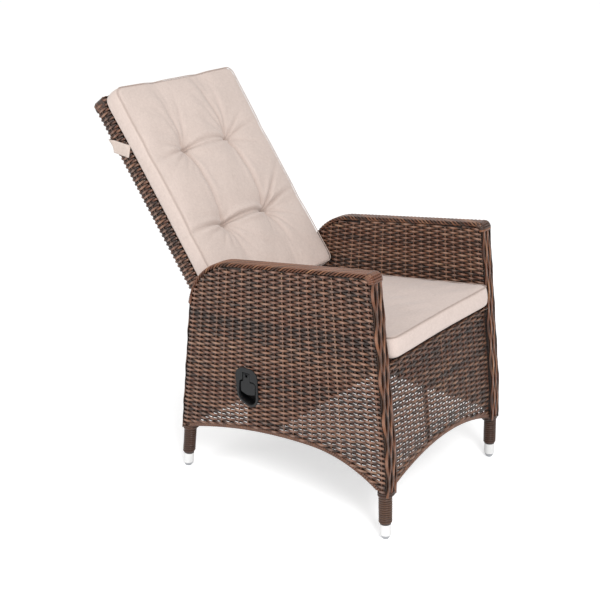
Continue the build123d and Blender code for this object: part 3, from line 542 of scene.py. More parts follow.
def woven_resin(name, shades, gloss):
    """Flat resin strand: a shade of its own that drifts along it, fine lines along it, satin gloss.

    Where its crest is low it gets painted shade, and where it is near 1 a painted highlight.
    """
    finish = Finish(name, specular_ior_level=0.36)
    run, across, tone = (finish.attribute(label) for label in ("run", "across", "tone"))
    drift = finish.noise(finish.vector(run * 9.0, across * 0.25, tone * 37.0), 1.0, 2.0)
    lines = finish.noise(finish.vector(run * 30.0, across * 4.0, tone * 53.0), 1.0, 3.0, 0.6)
    shade = tone * 0.78 + drift * 0.78 - 0.31
    colour = finish.node("ValToRGB", {"stops": shades}, {"Fac": shade + (lines - 0.5) * 0.45})
    crest = finish.attribute("crest")
    # Painted shade: near black where the strand dives under its neighbours
    painted_shade = finish.ramp(crest, 0.10, 0.80, 0.88, 0.0, "SMOOTHSTEP")
    colour = finish.mix(painted_shade, colour, (0.010, 0.006, 0.004))
    # Painted highlight: paler where the strand stands out most
    painted_highlight = finish.ramp(crest, 0.78, 1.0, 0.0, 0.36)
    colour = finish.mix(painted_highlight * (drift + 0.5), colour, (0.50, 0.32, 0.245))
    roughness = lines * 0.16 + gloss
    return finish.vary(colour, roughness, lines, 0.0005, 0.5)


def coated(name, colour, darker, roughness, grain, depth, metallic=0.0):
    """Even coating: two near shades in soft patches, with a fine grain in its roughness and bump."""
    finish = Finish(name, metallic=metallic)
    place = finish.place()
    patch = finish.noise(place, 30.0, 3.0)
    fine = finish.noise(place, grain)
    return finish.vary(finish.mix(patch, colour, darker), fine * 0.14 + (roughness - 0.07), fine, depth)


def cloth(name, colour, darker, tilt):
    """Heathered weave: slubs along each of the piece's own axes, and painted shade that darkens it beside the seams,
    in the folds and at the tufts.
    """
    finish = Finish(name, roughness=0.9, sheen_weight=0.25, sheen_roughness=0.5)
    place = finish.node("Mapping", None, {"Vector": finish.place(), "Rotation": (tilt, 0, 0)})
    stretches = ((1500, 120, 120), (120, 1500, 120), (120, 120, 1500))
    along = [finish.node("VectorMath", {"operation": "MULTIPLY"}, {0: place, 1: stretch}) for stretch in stretches]
    first, second, third = (finish.noise(stretched, 1.0) for stretched in along)
    threads = (first + second + third) * 0.333
    cloud = finish.noise(place, 11.0, 3.0)
    shade = finish.mix((threads - 0.5) * 2.2 + 0.3 + cloud * 0.25, colour, darker)
    # Painted shade: the mesh's seam number mixes in dark brown beside the upper seam, in the folds and at the tufts
    with_painted_shade = finish.mix(finish.attribute("seam") * 0.85, shade, (0.24, 0.165, 0.13))
    return finish.vary(with_painted_shade, None, threads, 0.0006, 0.6)


def white_foot():
    """White moulding with a grey tip: the height picks the colour."""
    finish = Finish("white_foot_finish", roughness=0.35)
    place = finish.place()
    height = finish.node("SeparateXYZ", None, {0: place}, 2)
    tip = finish.ramp(height, 0.0095, 0.0115, 1.0, 0.0)
    fine = finish.noise(place, 900.0)
    colour = finish.mix(finish.noise(place, 60.0), (0.83, 0.83, 0.82), (0.74, 0.74, 0.74))
    return finish.vary(finish.mix(tip, colour, (0.36, 0.37, 0.39)), None, fine, 0.0001)


def handle_moulding():
    """Dark moulding with painted shade, near black deep inside the bezel: how far inwards it lies picks the colour.
    """
    finish = Finish("handle_plastic_finish", specular_ior_level=0.22)
    place = finish.place()
    inwards = finish.node("SeparateXYZ", None, {0: place}, 0)
    # Painted shade: the moulding goes near black where it lies deep in the bezel
    painted_recess_shade = finish.ramp(inwards, -0.2895, -0.2840, 0.0, 1.0)
    fine = finish.noise(place, 2200.0, 2.0)
    face = finish.mix(finish.noise(place, 30.0, 3.0), (0.017, 0.018, 0.019), (0.012, 0.012, 0.013))
    return finish.vary(finish.mix(painted_recess_shade, face, (0.0035, 0.0035, 0.004)), fine * 0.14 + 0.42, fine, 0.00012)


BROWNS = [(0.0, (0.022, 0.013, 0.010)), (0.20, (0.050, 0.026, 0.018)), (0.36, (0.105, 0.040, 0.022)),
          (0.50, (0.130, 0.052, 0.028)), (0.62, (0.125, 0.064, 0.043)), (0.76, (0.190, 0.085, 0.045)),
          (0.90, (0.195, 0.112, 0.078)), (1.0, (0.300, 0.165, 0.090))]

# Colour, darker shade, roughness, grain per metre, grain depth, and 1 for metals
COATINGS = {
    "frame_tube": ((0.050, 0.032, 0.026), (0.034, 0.022, 0.018), 0.5, 1400.0, 0.0001),
    "zinc_steel": ((0.62, 0.62, 0.60), (0.50, 0.51, 0.52), 0.35, 700.0, 0.00005, 1.0),
    "black_nylon": ((0.022, 0.022, 0.022), (0.014, 0.014, 0.014), 0.5, 1200.0, 0.0001),
    "cable_sheath": ((0.016, 0.016, 0.016), (0.010, 0.010, 0.010), 0.6, 1500.0, 0.0001),
    "black_cylinder": ((0.014, 0.014, 0.015), (0.009, 0.009, 0.010), 0.28, 500.0, 0.00005),
    "polished_rod": ((0.75, 0.75, 0.75), (0.68, 0.68, 0.69), 0.14, 900.0, 0.00002, 1.0),
}
RESIN = woven_resin("woven_resin_finish", BROWNS, 0.24)
WARM_BROWNS = [(at, (1.08 * r, 0.90 * g, 0.70 * b)) for at, (r, g, b) in BROWNS]
WARM_RESIN = woven_resin("warm_resin_finish", WARM_BROWNS, 0.26)
SEAT_CLOTH = cloth("seat_cloth_finish", (0.70, 0.585, 0.535), (0.53, 0.43, 0.385), SEAT_PITCH)
BACK_CLOTH = cloth("back_cloth_finish", (0.67, 0.56, 0.505), (0.51, 0.415, 0.37), BACK_SLOPE)
WEBBING = cloth("strap_finish", (0.64, 0.54, 0.48), (0.48, 0.39, 0.34), BACK_SLOPE)
DARK_ZINC = coated("dark_zinc_finish", (0.030, 0.030, 0.032), (0.018, 0.018, 0.020), 0.45, 700.0, 0.00005, 1.0)
FINISHES = {slot: coated(slot + "_finish", *look) for slot, look in COATINGS.items()}
FINISHES.update(woven_resin=RESIN, white_foot=white_foot(), handle_plastic=handle_moulding(),
                cushion_cloth=SEAT_CLOTH, strap_webbing=WEBBING)

for part in frame["record"]["subparts"]:
    for place in frame["nodes"][part["node"]].material_slots:
        place.material = FINISHES[part["material_slot"]]
for node in ("handle_pin", "handle_spring"):
    frame["nodes"][node].material_slots[0].material = DARK_ZINC

# Side panels. The handle's opening is stretched round four circles, and the weave overlaps it a little.

HANDLE_CIRCLES = np.array([(0.084, 0.327, 0.027), (0.101, 0.327, 0.027), (0.082, 0.276, 0.027),
                           (0.098, 0.281, 0.025)])
HANDLE_OVERLAP = 0.0045
OUTER_WEAVE_X = SKIN_OUTER - 0.0004
SHADE_SHEET_X = 0.2797
BANDED = (0.011, 0.011, 0.0075, 0.011)
PANEL_CORNER = 0.010
SIDE_TRIAL = np.linspace(0, SIDE_COLUMNS + 2 * PAST_LEGS, 1332)
FRONT_TRIAL = np.linspace(0, FRONT_COLUMNS, 1021)


def side_grid(x, column, row):
    """Grid of a side panel at x: columns fan between the legs, and rows climb to the front on a smooth step.

    They climb by 33 mm low down and by 41 mm high up, from y = 0.230 forward to y = -0.260.
    """
    base = SIDE_BOTTOM + row * ROW_PITCH
    climb = 0.033 + 0.008 * np.clip((base - 0.25) / 0.35, 0, 1)
    z = base
    for _ in range(4):
        front, rear = front_leg_y(z), rear_leg_y(z)
        y = front + (rear - front) * column / SIDE_COLUMNS
        share = np.clip((0.230 - y) / 0.490, 0, 1)
        z = base + climb * share * share * (3 - 2 * share)
    return np.stack((np.full_like(y, x), y, z), axis=1)


def side_panel(side, sign):
    """The outer face down to the arch, and the inner face down to the seat."""
    outline = side_route(BANDED, PANEL_CORNER, 0.01)

    def outer(_, y, z):
        held = inside(outline, y, z) & (z > side_arch_z(y) + 0.008)
        return held & ~in_hull(HANDLE_CIRCLES, -HANDLE_OVERLAP, y, z) if sign < 0 else held

    def inner(_, y, z):
        held = inside(outline, y, z) & (z > seat_z(y) + 0.001)
        return held & (np.hypot(y - HINGE[0], z - HINGE[1]) > 0.014)

    for name, seed, x, outwards, shown, kind, replaced in (
            ("side_weave_", 11, OUTER_WEAVE_X, 1.0, outer, "outer", ["side_wicker_" + side]),
            ("arm_inside_weave_", 21, SKIN_INNER, -1.0, inner, "inner", [])):
        skin = Strands(name + side, seed + sign)
        place, facing = partial(side_grid, sign * x), np.array((sign * outwards, 0, 0))
        plain_weave(skin, place, facing, SIDE_TRIAL, SIDE_ROWS, shown, ROW_RELIEF[kind], past=PAST_LEGS)
        plain_stakes(skin, place, facing, SIDE_COLUMNS, SIDE_ROWS, shown, STAKE_RELIEF[kind])
        skin.make(*replaced)


def side_edges(side, sign):
    """Front and rear strips of long strands that meet and part, and the plaited arm top."""
    edge = Strands("arm_edge_plait_" + side, 31 + sign)
    route = side_route((SKIN_REACH,) * 4, ARM_FRONT_ROUND, 0.004)
    run, along, out = route_frame(route)
    corner = int(np.argmax(route[:, 1] > ARM_FRONT[1] + 0.010))
    rear = int(np.flatnonzero((route[:, 0] > 0.2) & (route[:, 1] < 0.500))[0])

    def lay(spots, away, across, depth, size, crest=0.8, flat=0.0155):
        points, facing = folded_band(sign, spots, away, across, depth, flat)
        edge.add(points, facing, *size, crest=crest)

    # Long strands: place = pitch * number + swing * cos(2 pi run / wave), with neighbours opposed.
    # Flat ones, made dark by painted shade, fill the gaps behind them.
    for first, last in ((0, corner + 4), (rear - 3, len(route) - 1)):
        part, distance = route[first:last + 1], run[first:last + 1]
        away = route_frame(part)[2]
        for number in range(-2, 3):
            wave = np.cos(2 * pi * distance / STRIP_WAVE + 0.35 * number)
            across = number * STRIP_PITCH + STRIP_SWING * (-1) ** number * wave
            depth = 0.0009 * (-1) ** number * np.sin(2 * pi * distance / STRIP_WAVE)
            lay(part, away, across, depth, STRIP_STRAND, 0.58 + 0.3 * (-1) ** number * wave, STRIP_FLAT)
            across = np.full_like(distance, number * STRIP_BACKING_PITCH)
            lay(part, away, across, -0.0024, STRIP_BACKING, 0.1, STRIP_FLAT)
    # Arm top: strands that cross it on a slant, over on the way out and under on the way back
    part, distance = route[corner + 1:rear], run[corner + 1:rear]
    away = route_frame(part)[2]
    for k in range(PLAIT_STRANDS):
        turn = 2 * pi * (distance / PLAIT_WAVE + k / PLAIT_STRANDS)
        across = PLAIT_HALF * (2 / pi) * np.arcsin(0.985 * np.sin(turn))
        depth = PLAIT_DEPTH * np.clip(np.cos(turn) * 4, -1, 1)
        lay(part, away, across, depth, PLAIT_STRAND, 0.42 + 0.46 * np.clip(np.cos(turn) * 2, -1, 1))
    # Bindings across the band where the plait starts, round its bend, and where it ends
    across = np.linspace(-BINDING_HALF, BINDING_HALF, 15)
    for start, count in ((corner - 1, 6), (rear - 2, 5)):
        for k in range(count):
            step = BINDING_PITCH * (k - 1)
            spot, away = route[start] + along[start] * step, out[start]
            if start < corner:
                spot = sampled([run[start] + step], run, route)[0]
                away = unit(sampled([run[start] + step], run, out)[0])
            lay(spot, away, across, 0.0030, BINDING_STRAND)
    edge.make(material=WARM_RESIN)


def arch_border(side, sign):
    """A strand wound round the arch's rod and the panel's last rows."""
    border = Strands("side_arch_winding_" + side, 41 + sign)
    front = float(front_leg_y(ARCH_FRONT_HEIGHT)) + 0.010
    rear = float(rear_leg_y(ARCH_REAR_HEIGHT)) - 0.010
    y = np.linspace(front, rear, 260)
    line = np.stack((y, side_arch_z(y) + 0.0058), axis=1)
    centre = np.column_stack((np.full_like(y, sign * 0.2806), line))
    aside = np.column_stack((np.zeros_like(y), route_frame(line)[2]))
    winding(border, centre, np.array((sign, 0.0, 0.0)), aside, (0.0086, 0.0054), WINDING_PITCH, WINDING_WIDTH, 0.0034)
    border.make()


def shade_sheet(side, sign):
    """Dark straight strands behind the outer weave, a sheet of painted shade, and thin ones low down at the front and
    rear of a side.

    The open parts, with the thin strands, lie under the line z = 0.205 - 0.78 y in front, and under
    z = 0.339 - 0.70 y behind.
    """
    layer = Strands("side_liner_" + side, 45 + sign)
    outline = side_route((0.004,) * 4, PANEL_CORNER, 0.01)
    trial = np.linspace(0, SIDE_COLUMNS, SIDE_COLUMNS * 20)
    for row in range(SIDE_ROWS):
        points = side_grid(sign * SHADE_SHEET_X, trial, np.full_like(trial, row + 0.5))
        _, y, z = points.T
        kept = inside(outline, y, z) & (z > side_arch_z(y) + 0.014)
        # Painted shade: the full-width dark strands stand where shade is seen through the weave
        painted_shade_part = (z > 0.205 - 0.78 * y) & ((y < 0.100) | (z > 0.339 - 0.70 * y))
        if sign < 0:
            kept &= ~in_hull(HANDLE_CIRCLES, 0.0, y, z)
        for mask, width, drop in ((kept & painted_shade_part, 0.0066, 0.0), (kept & ~painted_shade_part, 0.0022, 0.38 * ROW_PITCH)):
            for a, b in shown_runs(mask):
                pick = np.unique(np.linspace(a, b, max((b - a) // 20, 1) + 1).astype(int))
                layer.add(points[pick] - (0.0, 0.0, drop), (sign, 0.0, 0.0), width, SHADE_SHEET_THICKNESS, crest=0.2)
    layer.make()


def leg_wraps(side, sign):
    """Strand wound round both legs of a side, from the foot up to the panel, with a collar at its top."""
    for end, low, high in (("front", FRONT_FOOT, FRONT_KNEE), ("rear", REAR_FOOT, ARM_REAR)):
        wrap = Strands(f"leg_winding_{end}_{side}", 51 + sign + len(end))
        for x, bottom, top, count, radii, pitch, thickness, points_per_turn, crest in (
                (TUBE_X, FOOT_TOP + 0.0028, SKIN_BOTTOM + 0.022, 40, (0.0156, 0.0156), 0.0062, 0.0036, 14, 0.38),
                (SKIN_MIDDLE, SKIN_BOTTOM - 0.0022, SKIN_BOTTOM + 0.0105, 12, (0.0232, 0.0192), 0.0058, 0.0030, 28,
                 0.45)):
            z = np.linspace(bottom, top, count)
            centre = np.column_stack((np.full_like(z, sign * x), on_line(low, high, z), z))
            winding(wrap, centre, np.array((1.0, 0.0, 0.0)), (0.0, 1.0, 0.0), radii, pitch, 0.0052, thickness,
                    points_per_turn, crest)
        wrap.make(f"leg_wrap_{end}_{side}")


for side, sign in SIDES.items():
    side_panel(side, sign)
    side_edges(side, sign)
    arch_border(side, sign)
    shade_sheet(side, sign)
    leg_wraps(side, sign)

# Front panel and seat

FORWARD = np.array((0.0, -1.0, 0.0))


def front_x(column):
    """Place across the front panel or the seat: its columns are evenly spread."""
    return -FRONT_HALF + 2 * FRONT_HALF * column / FRONT_COLUMNS


def apron():
    """Front panel between the legs: level rows, from its arch up to the seat."""
    panel = Strands("front_weave", 61)

    def place(column, row):
        z = FRONT_BOTTOM + row * FRONT_ROW_PITCH
        return np.stack((front_x(column), front_leg_y(z) - APRON_SET, z), axis=1)

    def shown(x, y, z, past_arch=0.008):
        return (z > apron_arch_z(x) + past_arch) & (z < seat_z(y) - 0.003)

    facing = np.array((0.0, -0.996, 0.09))
    plain_weave(panel, place, facing, FRONT_TRIAL, FRONT_ROWS, shown, ROW_RELIEF["front"], width=FRONT_ROW_WIDTH,
                crest=(0.38, 0.42))
    plain_stakes(panel, place, facing, FRONT_COLUMNS, FRONT_ROWS, shown, STAKE_RELIEF["front"])
    panel.make("front_apron_wicker")

    # Dark straight strands behind the weave, a sheet of painted shade, above the line z = 0.289 - 0.550 x
    front_shade_layer = Strands("front_shade_sheet", 65)
    x = np.linspace(-FRONT_HALF, FRONT_HALF, 60)
    for row in range(FRONT_ROWS):
        z = np.full_like(x, FRONT_BOTTOM + (row + 0.5) * FRONT_ROW_PITCH)
        line = np.column_stack((x, front_leg_y(z) + 0.0030, z))
        for a, b in shown_runs(shown(*line.T, past_arch=0.014) & (z > 0.289 - 0.550 * x)):
            front_shade_layer.add(line[a:b + 1], FORWARD, 0.0069, SHADE_SHEET_THICKNESS, crest=0.2)
    front_shade_layer.make()

    # Painted shade: three dark upright strands behind the front weave, a band of shade at x = -0.078 to -0.060
    shade_band = Strands("front_shade_band", 64)
    z = np.linspace(0.172, 0.438, 30)
    for x in (-0.078, -0.069, -0.060):
        line = np.column_stack((np.full_like(z, x), front_leg_y(z) + 0.0012, z))
        shade_band.add(line, FORWARD, 0.0088, 0.0024, crest=0.25)
    shade_band.make()

    border = Strands("front_arch_winding", 62)
    x = np.linspace(-0.250, 0.250, 200)
    z = apron_arch_z(x) + 0.0062
    left = route_frame(np.stack((x, z), axis=1))[2]
    centre = np.column_stack((x, front_leg_y(z) - 0.0005, z))
    aside = np.column_stack((left[:, 0], np.zeros_like(x), left[:, 1]))
    winding(border, centre, FORWARD, aside, (0.0072, 0.0058), WINDING_PITCH, WINDING_WIDTH, 0.0034)
    border.make()


def seat_weave():
    """Seat panel over the rails: rows across, stakes front to rear."""
    panel = Strands("seat_weave", 63)

    def place(column, row):
        y = SEAT_WEAVE_FRONT + row * SEAT_ROW_PITCH
        return np.stack((front_x(column), y, seat_z(y) - SEAT_WEAVE_DROP), axis=1)

    def shown(_, y, __):
        return y < SEAT_WEAVE_REAR

    facing = np.array((0.0, sin(SEAT_PITCH), cos(SEAT_PITCH)))
    plain_weave(panel, place, facing, FRONT_TRIAL, SEAT_ROWS, shown, ROW_RELIEF["seat"], 3, crest=(0.38, 0.42))
    plain_stakes(panel, place, facing, FRONT_COLUMNS, SEAT_ROWS, shown, STAKE_RELIEF["seat"])
    panel.make("seat_panel_wicker")


apron()
seat_weave()

# Backrest


def on_back(x, s, q):
    """A point of the backrest's own plane: x across, s up it, q towards the sitter."""
    return np.stack((x, HINGE[0] + s * sin(BACK_SLOPE) - q * cos(BACK_SLOPE),
                     HINGE[1] + s * cos(BACK_SLOPE) + q * sin(BACK_SLOPE)), axis=-1)


def back_facing(x, s, q):
    """A direction of the backrest's own plane."""
    return np.stack((x, s * sin(BACK_SLOPE) - q * cos(BACK_SLOPE), s * cos(BACK_SLOPE) + q * sin(BACK_SLOPE)),
                    axis=-1)


def back_ring(half, depth, corner):
    """Points and outward directions round the backrest's section, a rounded oblong, by share of its length."""
    corners = [(0, -depth), (half, -depth), (half, depth), (-half, depth), (-half, -depth), (0, -depth)]
    route = rounded_route(corners, (corner,) * 4, 0.002)
    run, _, left = route_frame(route)
    return run / run[-1], route, -left


def back_weave():
    """Rows that go right round the backrest, and stakes that stand in them."""
    share, ring, out = back_ring(BACK_HALF - 0.0025, BACK_HALF_DEPTH - 0.0026, 0.008)
    rows = int((BACK_LENGTH - BACK_START - 0.014) / BACK_ROW_PITCH)

    def at(column):
        where = (column / BACK_COLUMNS) % 1.0
        return sampled(where, share, ring), unit(sampled(where, share, out))

    def height(row):
        return BACK_START + 0.006 + row * BACK_ROW_PITCH

    def lay(strands, point, face, up, depth, inward, *size, **more):
        x, q = point[:, 0] - inward + face[:, 0] * depth, point[:, 1] + face[:, 1] * depth
        strands.add(on_back(x, up, q), back_facing(face[:, 0], 0 * x, face[:, 1]), *size, **more)

    skin = Strands("back_weave", 71)
    column = np.arange(BACK_COLUMNS * 4) / 4
    point, face = at(column)
    for row in range(rows + 1):
        drawn = np.clip((height(row) - (BACK_LENGTH - 0.018)) / 0.018, 0, 1) ** 2 * 0.008
        inward = np.clip(np.abs(point[:, 0]) / BACK_HALF, 0, 1) ** 8 * drawn * np.sign(point[:, 0])
        wave = (-1) ** row * np.cos(pi * column)
        lay(skin, point, face, np.full_like(column, height(row)), ROW_RELIEF["back"] * wave, inward,
            STRAND_WIDTH, STRAND_THICKNESS - 0.0004, closed=True, crest=0.5 + 0.5 * wave)
    skin.make("back_wicker", body="backrest")

    stakes = Strands("back_stakes", 72)
    row = np.arange(rows + 1, dtype=float)
    for number in range(BACK_COLUMNS):
        point, face = at(np.full_like(row, number))
        lay(stakes, point, face, height(row), -STAKE_RELIEF["back"] * (-1) ** (row + number), 0.0,
            STAKE_WIDTH, STAKE_THICKNESS - 0.0003, crest=0.35)
    stakes.make(body="backrest")


def back_top():
    """Plaited band that closes the top of the backrest, and the strands that close its bottom."""
    band = Strands("back_top_plait", 73)
    half = BACK_HALF - 0.0035
    corners = [(half, BACK_LENGTH - 0.030), (half, BACK_LENGTH - 0.0032), (-half, BACK_LENGTH - 0.0032),
               (-half, BACK_LENGTH - 0.030)]
    route = rounded_route(corners, (0.012, 0.012), 0.004)
    run, _, left = route_frame(route)
    for k in range(BACK_PLAIT_STRANDS):
        turn = 2 * pi * (run / BACK_PLAIT_WAVE + k / BACK_PLAIT_STRANDS)
        q = BACK_PLAIT_HALF * (2 / pi) * np.arcsin(0.985 * np.sin(turn))
        depth = BACK_PLAIT_DEPTH * np.clip(np.cos(turn) * 6, -1, 1)
        x, s = route[:, 0] - left[:, 0] * depth, route[:, 1] - left[:, 1] * depth
        band.add(on_back(x, s, q), back_facing(-left[:, 0], -left[:, 1], 0 * q), *BACK_PLAIT_STRAND)
    for q in np.linspace(-0.019, 0.019, 7):
        for low, high in ((-0.2045, -0.0175), (0.0175, 0.2045)):
            x = np.linspace(low, high, 24)
            s = np.full_like(x, BACK_START + 0.0025) + 0.0008 * np.cos(x * 230 + q * 500)
            band.add(on_back(x, s, np.full_like(x, q)), back_facing(0 * x, 0 * x - 1, 0 * x), 0.0058, 0.0022)
    band.make(body="backrest")


back_weave()
back_top()


def strap():
    """Sewn band that holds the back cushion: up both sides on a slant and straight across the rear."""
    _, ring, out = back_ring(BACK_HALF + 0.0022, BACK_HALF_DEPTH + 0.0028, 0.010)
    half_way = len(ring) // 2
    kept = np.roll(ring[:, 1] < 0.0245, half_way)
    run, face = np.roll(ring, half_way, axis=0)[kept], np.roll(out, half_way, axis=0)[kept]
    rise = np.interp(run[:, 1], (-0.0268, 0.024), (0.535, 0.488))
    knots = np.linspace(-1, 1, 13)
    thick = 1 - 0.25 * bell(np.abs(knots) - 0.86, 0.05)
    edge = np.concatenate((np.column_stack((knots[::-1], thick[::-1])), np.column_stack((knots, -thick))))
    band = Strands("cushion_strap_band", 81)
    band.add(on_back(run[:, 0], rise, run[:, 1]), back_facing(face[:, 0], 0 * rise, face[:, 1]),
             0.034, 0.0018, edge)
    band.make("cushion_strap", body="backrest", slot="strap_webbing", material=WEBBING)


strap()

# Cushions

CUSHION_HALF = 0.2375
CORNER_ROUND = 0.022
SEAT_ORIGIN = np.array((0.0, -0.3165, float(seat_z(-0.3165)) + 0.0006))
SEAT_ALONG = np.array((0.0, cos(SEAT_PITCH), -sin(SEAT_PITCH)))
SEAT_UP = np.array((0.0, sin(SEAT_PITCH), cos(SEAT_PITCH)))
BACK_ORIGIN = on_back(0.0, 0.007, 0.0252)
BACK_ALONG = np.array((0.0, sin(BACK_SLOPE), cos(BACK_SLOPE)))
BACK_UP = np.array((0.0, -cos(BACK_SLOPE), sin(BACK_SLOPE)))
TUFT_X, TUFT_LOW, TUFT_HIGH = 0.0885, 0.206, 0.435
PIPING_WIDTH = 0.0026
FOLD_DEPTH = 0.0017
FOLD_WIDTH = 0.0034
PIT_DEPTH = 0.0390
PIT_REACH = 0.027
VOXEL = 0.0058
SEAM_MARGIN = 0.04
SEAM_HELD = 0.005
TUFT_HELD = 0.0075
CLOTH_STEPS = 20
TUFTS = [(x, y) for x in (-TUFT_X, TUFT_X) for y in (TUFT_LOW, TUFT_HIGH)]


def cushion_outline(spec, grow, count):
    """Rounded oblong whose sides pull in between the corners, by draw * sin^2 of the share along them."""
    half, length, draw = spec["half"] + grow, spec["length"], spec["draw"]
    corners = [(0, -grow), (half, -grow), (half, length + grow), (-half, length + grow), (-half, -grow), (0, -grow)]
    route = rounded_route(corners, (CORNER_ROUND + grow,) * 4, 0.001)
    run = lengths(route)
    x, y = sampled(np.linspace(0, run[-1], count, endpoint=False), run, route).T
    x = x * (1 - draw / half * np.sin(pi * np.clip(y / length, 0, 1)) ** 2)
    middle = length / 2
    return x, middle + (y - middle) * (1 - draw / middle * np.cos(pi * x / (2 * half)) ** 2)


def seam_height(x, y, spec):
    """Height of the upper seam: it sags by a bell in line with each tuft, along the ends and the sides."""
    sag = np.zeros_like(x)
    for cx, cy in spec["tufts"]:
        sag = sag + 0.0030 * bell(x - cx, 0.026)
        sag = sag + 0.0012 * bell(y - cy, 0.030) * (np.abs(x) > 0.2)
    return spec["edge"] - sag


def top_rise(x, y, k, spec):
    """Height of the top over its seam: a crown of 1 - k^3, valleys in line with the tufts and a pit at each.

    k is the share of the way out from the middle. A valley is a bell across its line, and a pit falls
    off as exp(-distance / reach).
    """
    rise = spec["crown"] * (1 - k ** 3)
    fade = 1 - k ** 6
    for cx, cy in spec["tufts"]:
        rise = rise - 0.0035 * fade * bell(x - cx, 0.020)
        rise = rise - 0.0030 * fade * bell(y - cy, 0.022)
        rise = rise - PIT_DEPTH * np.exp(-np.hypot(x - cx, y - cy) / PIT_REACH)
    return rise


def cushion_mesh(name, spec):
    """Closed form of rings: underside, boxing that bulges, and a crowned top with its pits."""
    count, middle, low, edge = 180, spec["length"] / 2, spec["low"], spec["edge"]
    x, y = cushion_outline(spec, 0.0, count)
    seam = seam_height(x, y, spec)

    def ring(k):
        return x * k, middle + (y - middle) * k

    rings = [(k, np.full(count, low * k ** 6)) for k in (0.25, 0.5, 0.75, 0.9, 0.97)]
    rings += [(1.0 + 0.012 * sin(pi * t), low + (seam - low) * t) for t in (0.0, 0.2, 0.4, 0.6, 0.8, 1.0)]
    rings += [(k, edge + (seam - edge) * k ** 8 + top_rise(*ring(k), k, spec))
              for k in (0.985, 0.96, 0.92, 0.86, 0.78, 0.69, 0.6, 0.5, 0.4, 0.3, 0.2, 0.1)]
    summit = edge + float(top_rise(0.0, middle, 0.0, spec))
    loops = [np.column_stack((*ring(k), z)) for k, z in rings]
    local = np.vstack([(0.0, middle, 0.0), *loops, (0.0, middle, summit)])
    j = np.arange(count)
    turn = (j + 1) % count
    faces = np.stack((np.zeros(count, int), 1 + turn, 1 + j), axis=1).tolist()
    for number in range(len(rings) - 1):
        a, b = 1 + number * count, 1 + (number + 1) * count
        faces += np.stack((a + j, a + turn, b + turn, b + j), axis=1).tolist()
    last = 1 + (len(rings) - 1) * count
    faces += np.stack((last + j, last + turn, np.full(count, len(local) - 1)), axis=1).tolist()
    mesh = bpy.data.meshes.new(name)
    mesh.from_pydata(world_of(local, spec).tolist(), [], faces)
    mesh.update()
    return mesh


def world_of(local, spec):
    """World points from across, along and up from a cushion's own corner."""
    origin, along, up = spec["axes"]
    return origin + local[:, :1] * np.array((1.0, 0.0, 0.0)) + local[:, 1:2] * along + local[:, 2:] * up


def local_of(points, spec):
    """World points as across, along and up from a cushion's own corner."""
    origin, along, up = spec["axes"]
    gap = points - origin
    return np.column_stack((gap[:, 0], gap @ along, gap @ up))


def points_of(mesh):
    """A mesh's points as an array."""
    flat = np.empty(len(mesh.vertices) * 3, np.float32)
    mesh.vertices.foreach_get("co", flat)
    return flat.reshape(-1, 3).astype(float)


def evaluated(piece):
    """A piece's mesh with its modifiers applied, which then replaces its own."""
    made = bpy.data.meshes.new_from_object(piece.evaluated_get(bpy.context.evaluated_depsgraph_get()))
    piece.modifiers.clear()
    return made


def seam_distance(local, spec):
    """Distance from the nearer of the two seams, at the bottom and the top of the boxing.

    Points more than the margin in from the outline get 1.
    """
    loop = np.column_stack(cushion_outline(spec, 0.0, 720))
    best = np.full(len(local), 1.0)
    x, y, _ = local.T
    near = np.flatnonzero((np.abs(x) > spec["half"] - SEAM_MARGIN) | (y < SEAM_MARGIN)
                          | (y > spec["length"] - SEAM_MARGIN))
    for chunk in np.array_split(near, max(len(near) // 4000, 1)):
        flat = np.min(np.linalg.norm(local[chunk, None, :2] - loop[None], axis=2), axis=1)
        high = seam_height(local[chunk, 0], local[chunk, 1], spec)
        up = np.minimum(np.abs(local[chunk, 2] - spec["low"]), np.abs(local[chunk, 2] - high))
        best[chunk] = np.hypot(flat, up)
    return best


def stuffed(mesh, spec):
    """Remeshes the form, blows it up as cloth with its seams and tufts held, and caps how far it moves.
    """
    piece = linked(mesh.name, mesh)
    remesh = piece.modifiers.new("remesh", "REMESH")
    remesh.mode, remesh.voxel_size, remesh.use_smooth_shade = "VOXEL", VOXEL, True
    piece.data = evaluated(piece)
    start = points_of(piece.data)
    local = local_of(start, spec)
    hold = (seam_distance(local, spec) < SEAM_HELD) | (local[:, 2] < 0.004)
    for cx, cy in spec["tufts"]:
        hold |= np.hypot(local[:, 0] - cx, local[:, 1] - cy) < TUFT_HELD
    piece.vertex_groups.new(name="held").add(np.flatnonzero(hold).tolist(), 1.0, "REPLACE")
    blown = piece.modifiers.new("cloth", "CLOTH")
    fabric = blown.settings
    fabric.quality, fabric.mass = 6, 0.3
    fabric.tension_stiffness = fabric.compression_stiffness = 12
    fabric.shear_stiffness, fabric.bending_stiffness = 4, 0.15
    fabric.use_pressure, fabric.uniform_pressure_force = True, spec["pressure"]
    fabric.effector_weights.gravity = 0
    fabric.vertex_group_mass = "held"
    blown.point_cache.frame_start, blown.point_cache.frame_end = 1, CLOTH_STEPS
    for number in range(1, CLOTH_STEPS + 1):
        bpy.context.scene.frame_set(number)
    move = points_of(evaluated(piece)) - start
    piece.vertex_groups.clear()
    bpy.context.scene.frame_set(1)
    length = np.maximum(np.linalg.norm(move, axis=1, keepdims=True), 1e-9)
    end = start + move / length * np.minimum(length, spec["cap"])
    piece.data.vertices.foreach_set("co", end.astype(np.float32).ravel())
    piece.data.update()
    smooth = piece.modifiers.new("smooth", "SUBSURF")
    smooth.levels = smooth.render_levels = 1
    piece.data = evaluated(piece)
    return piece


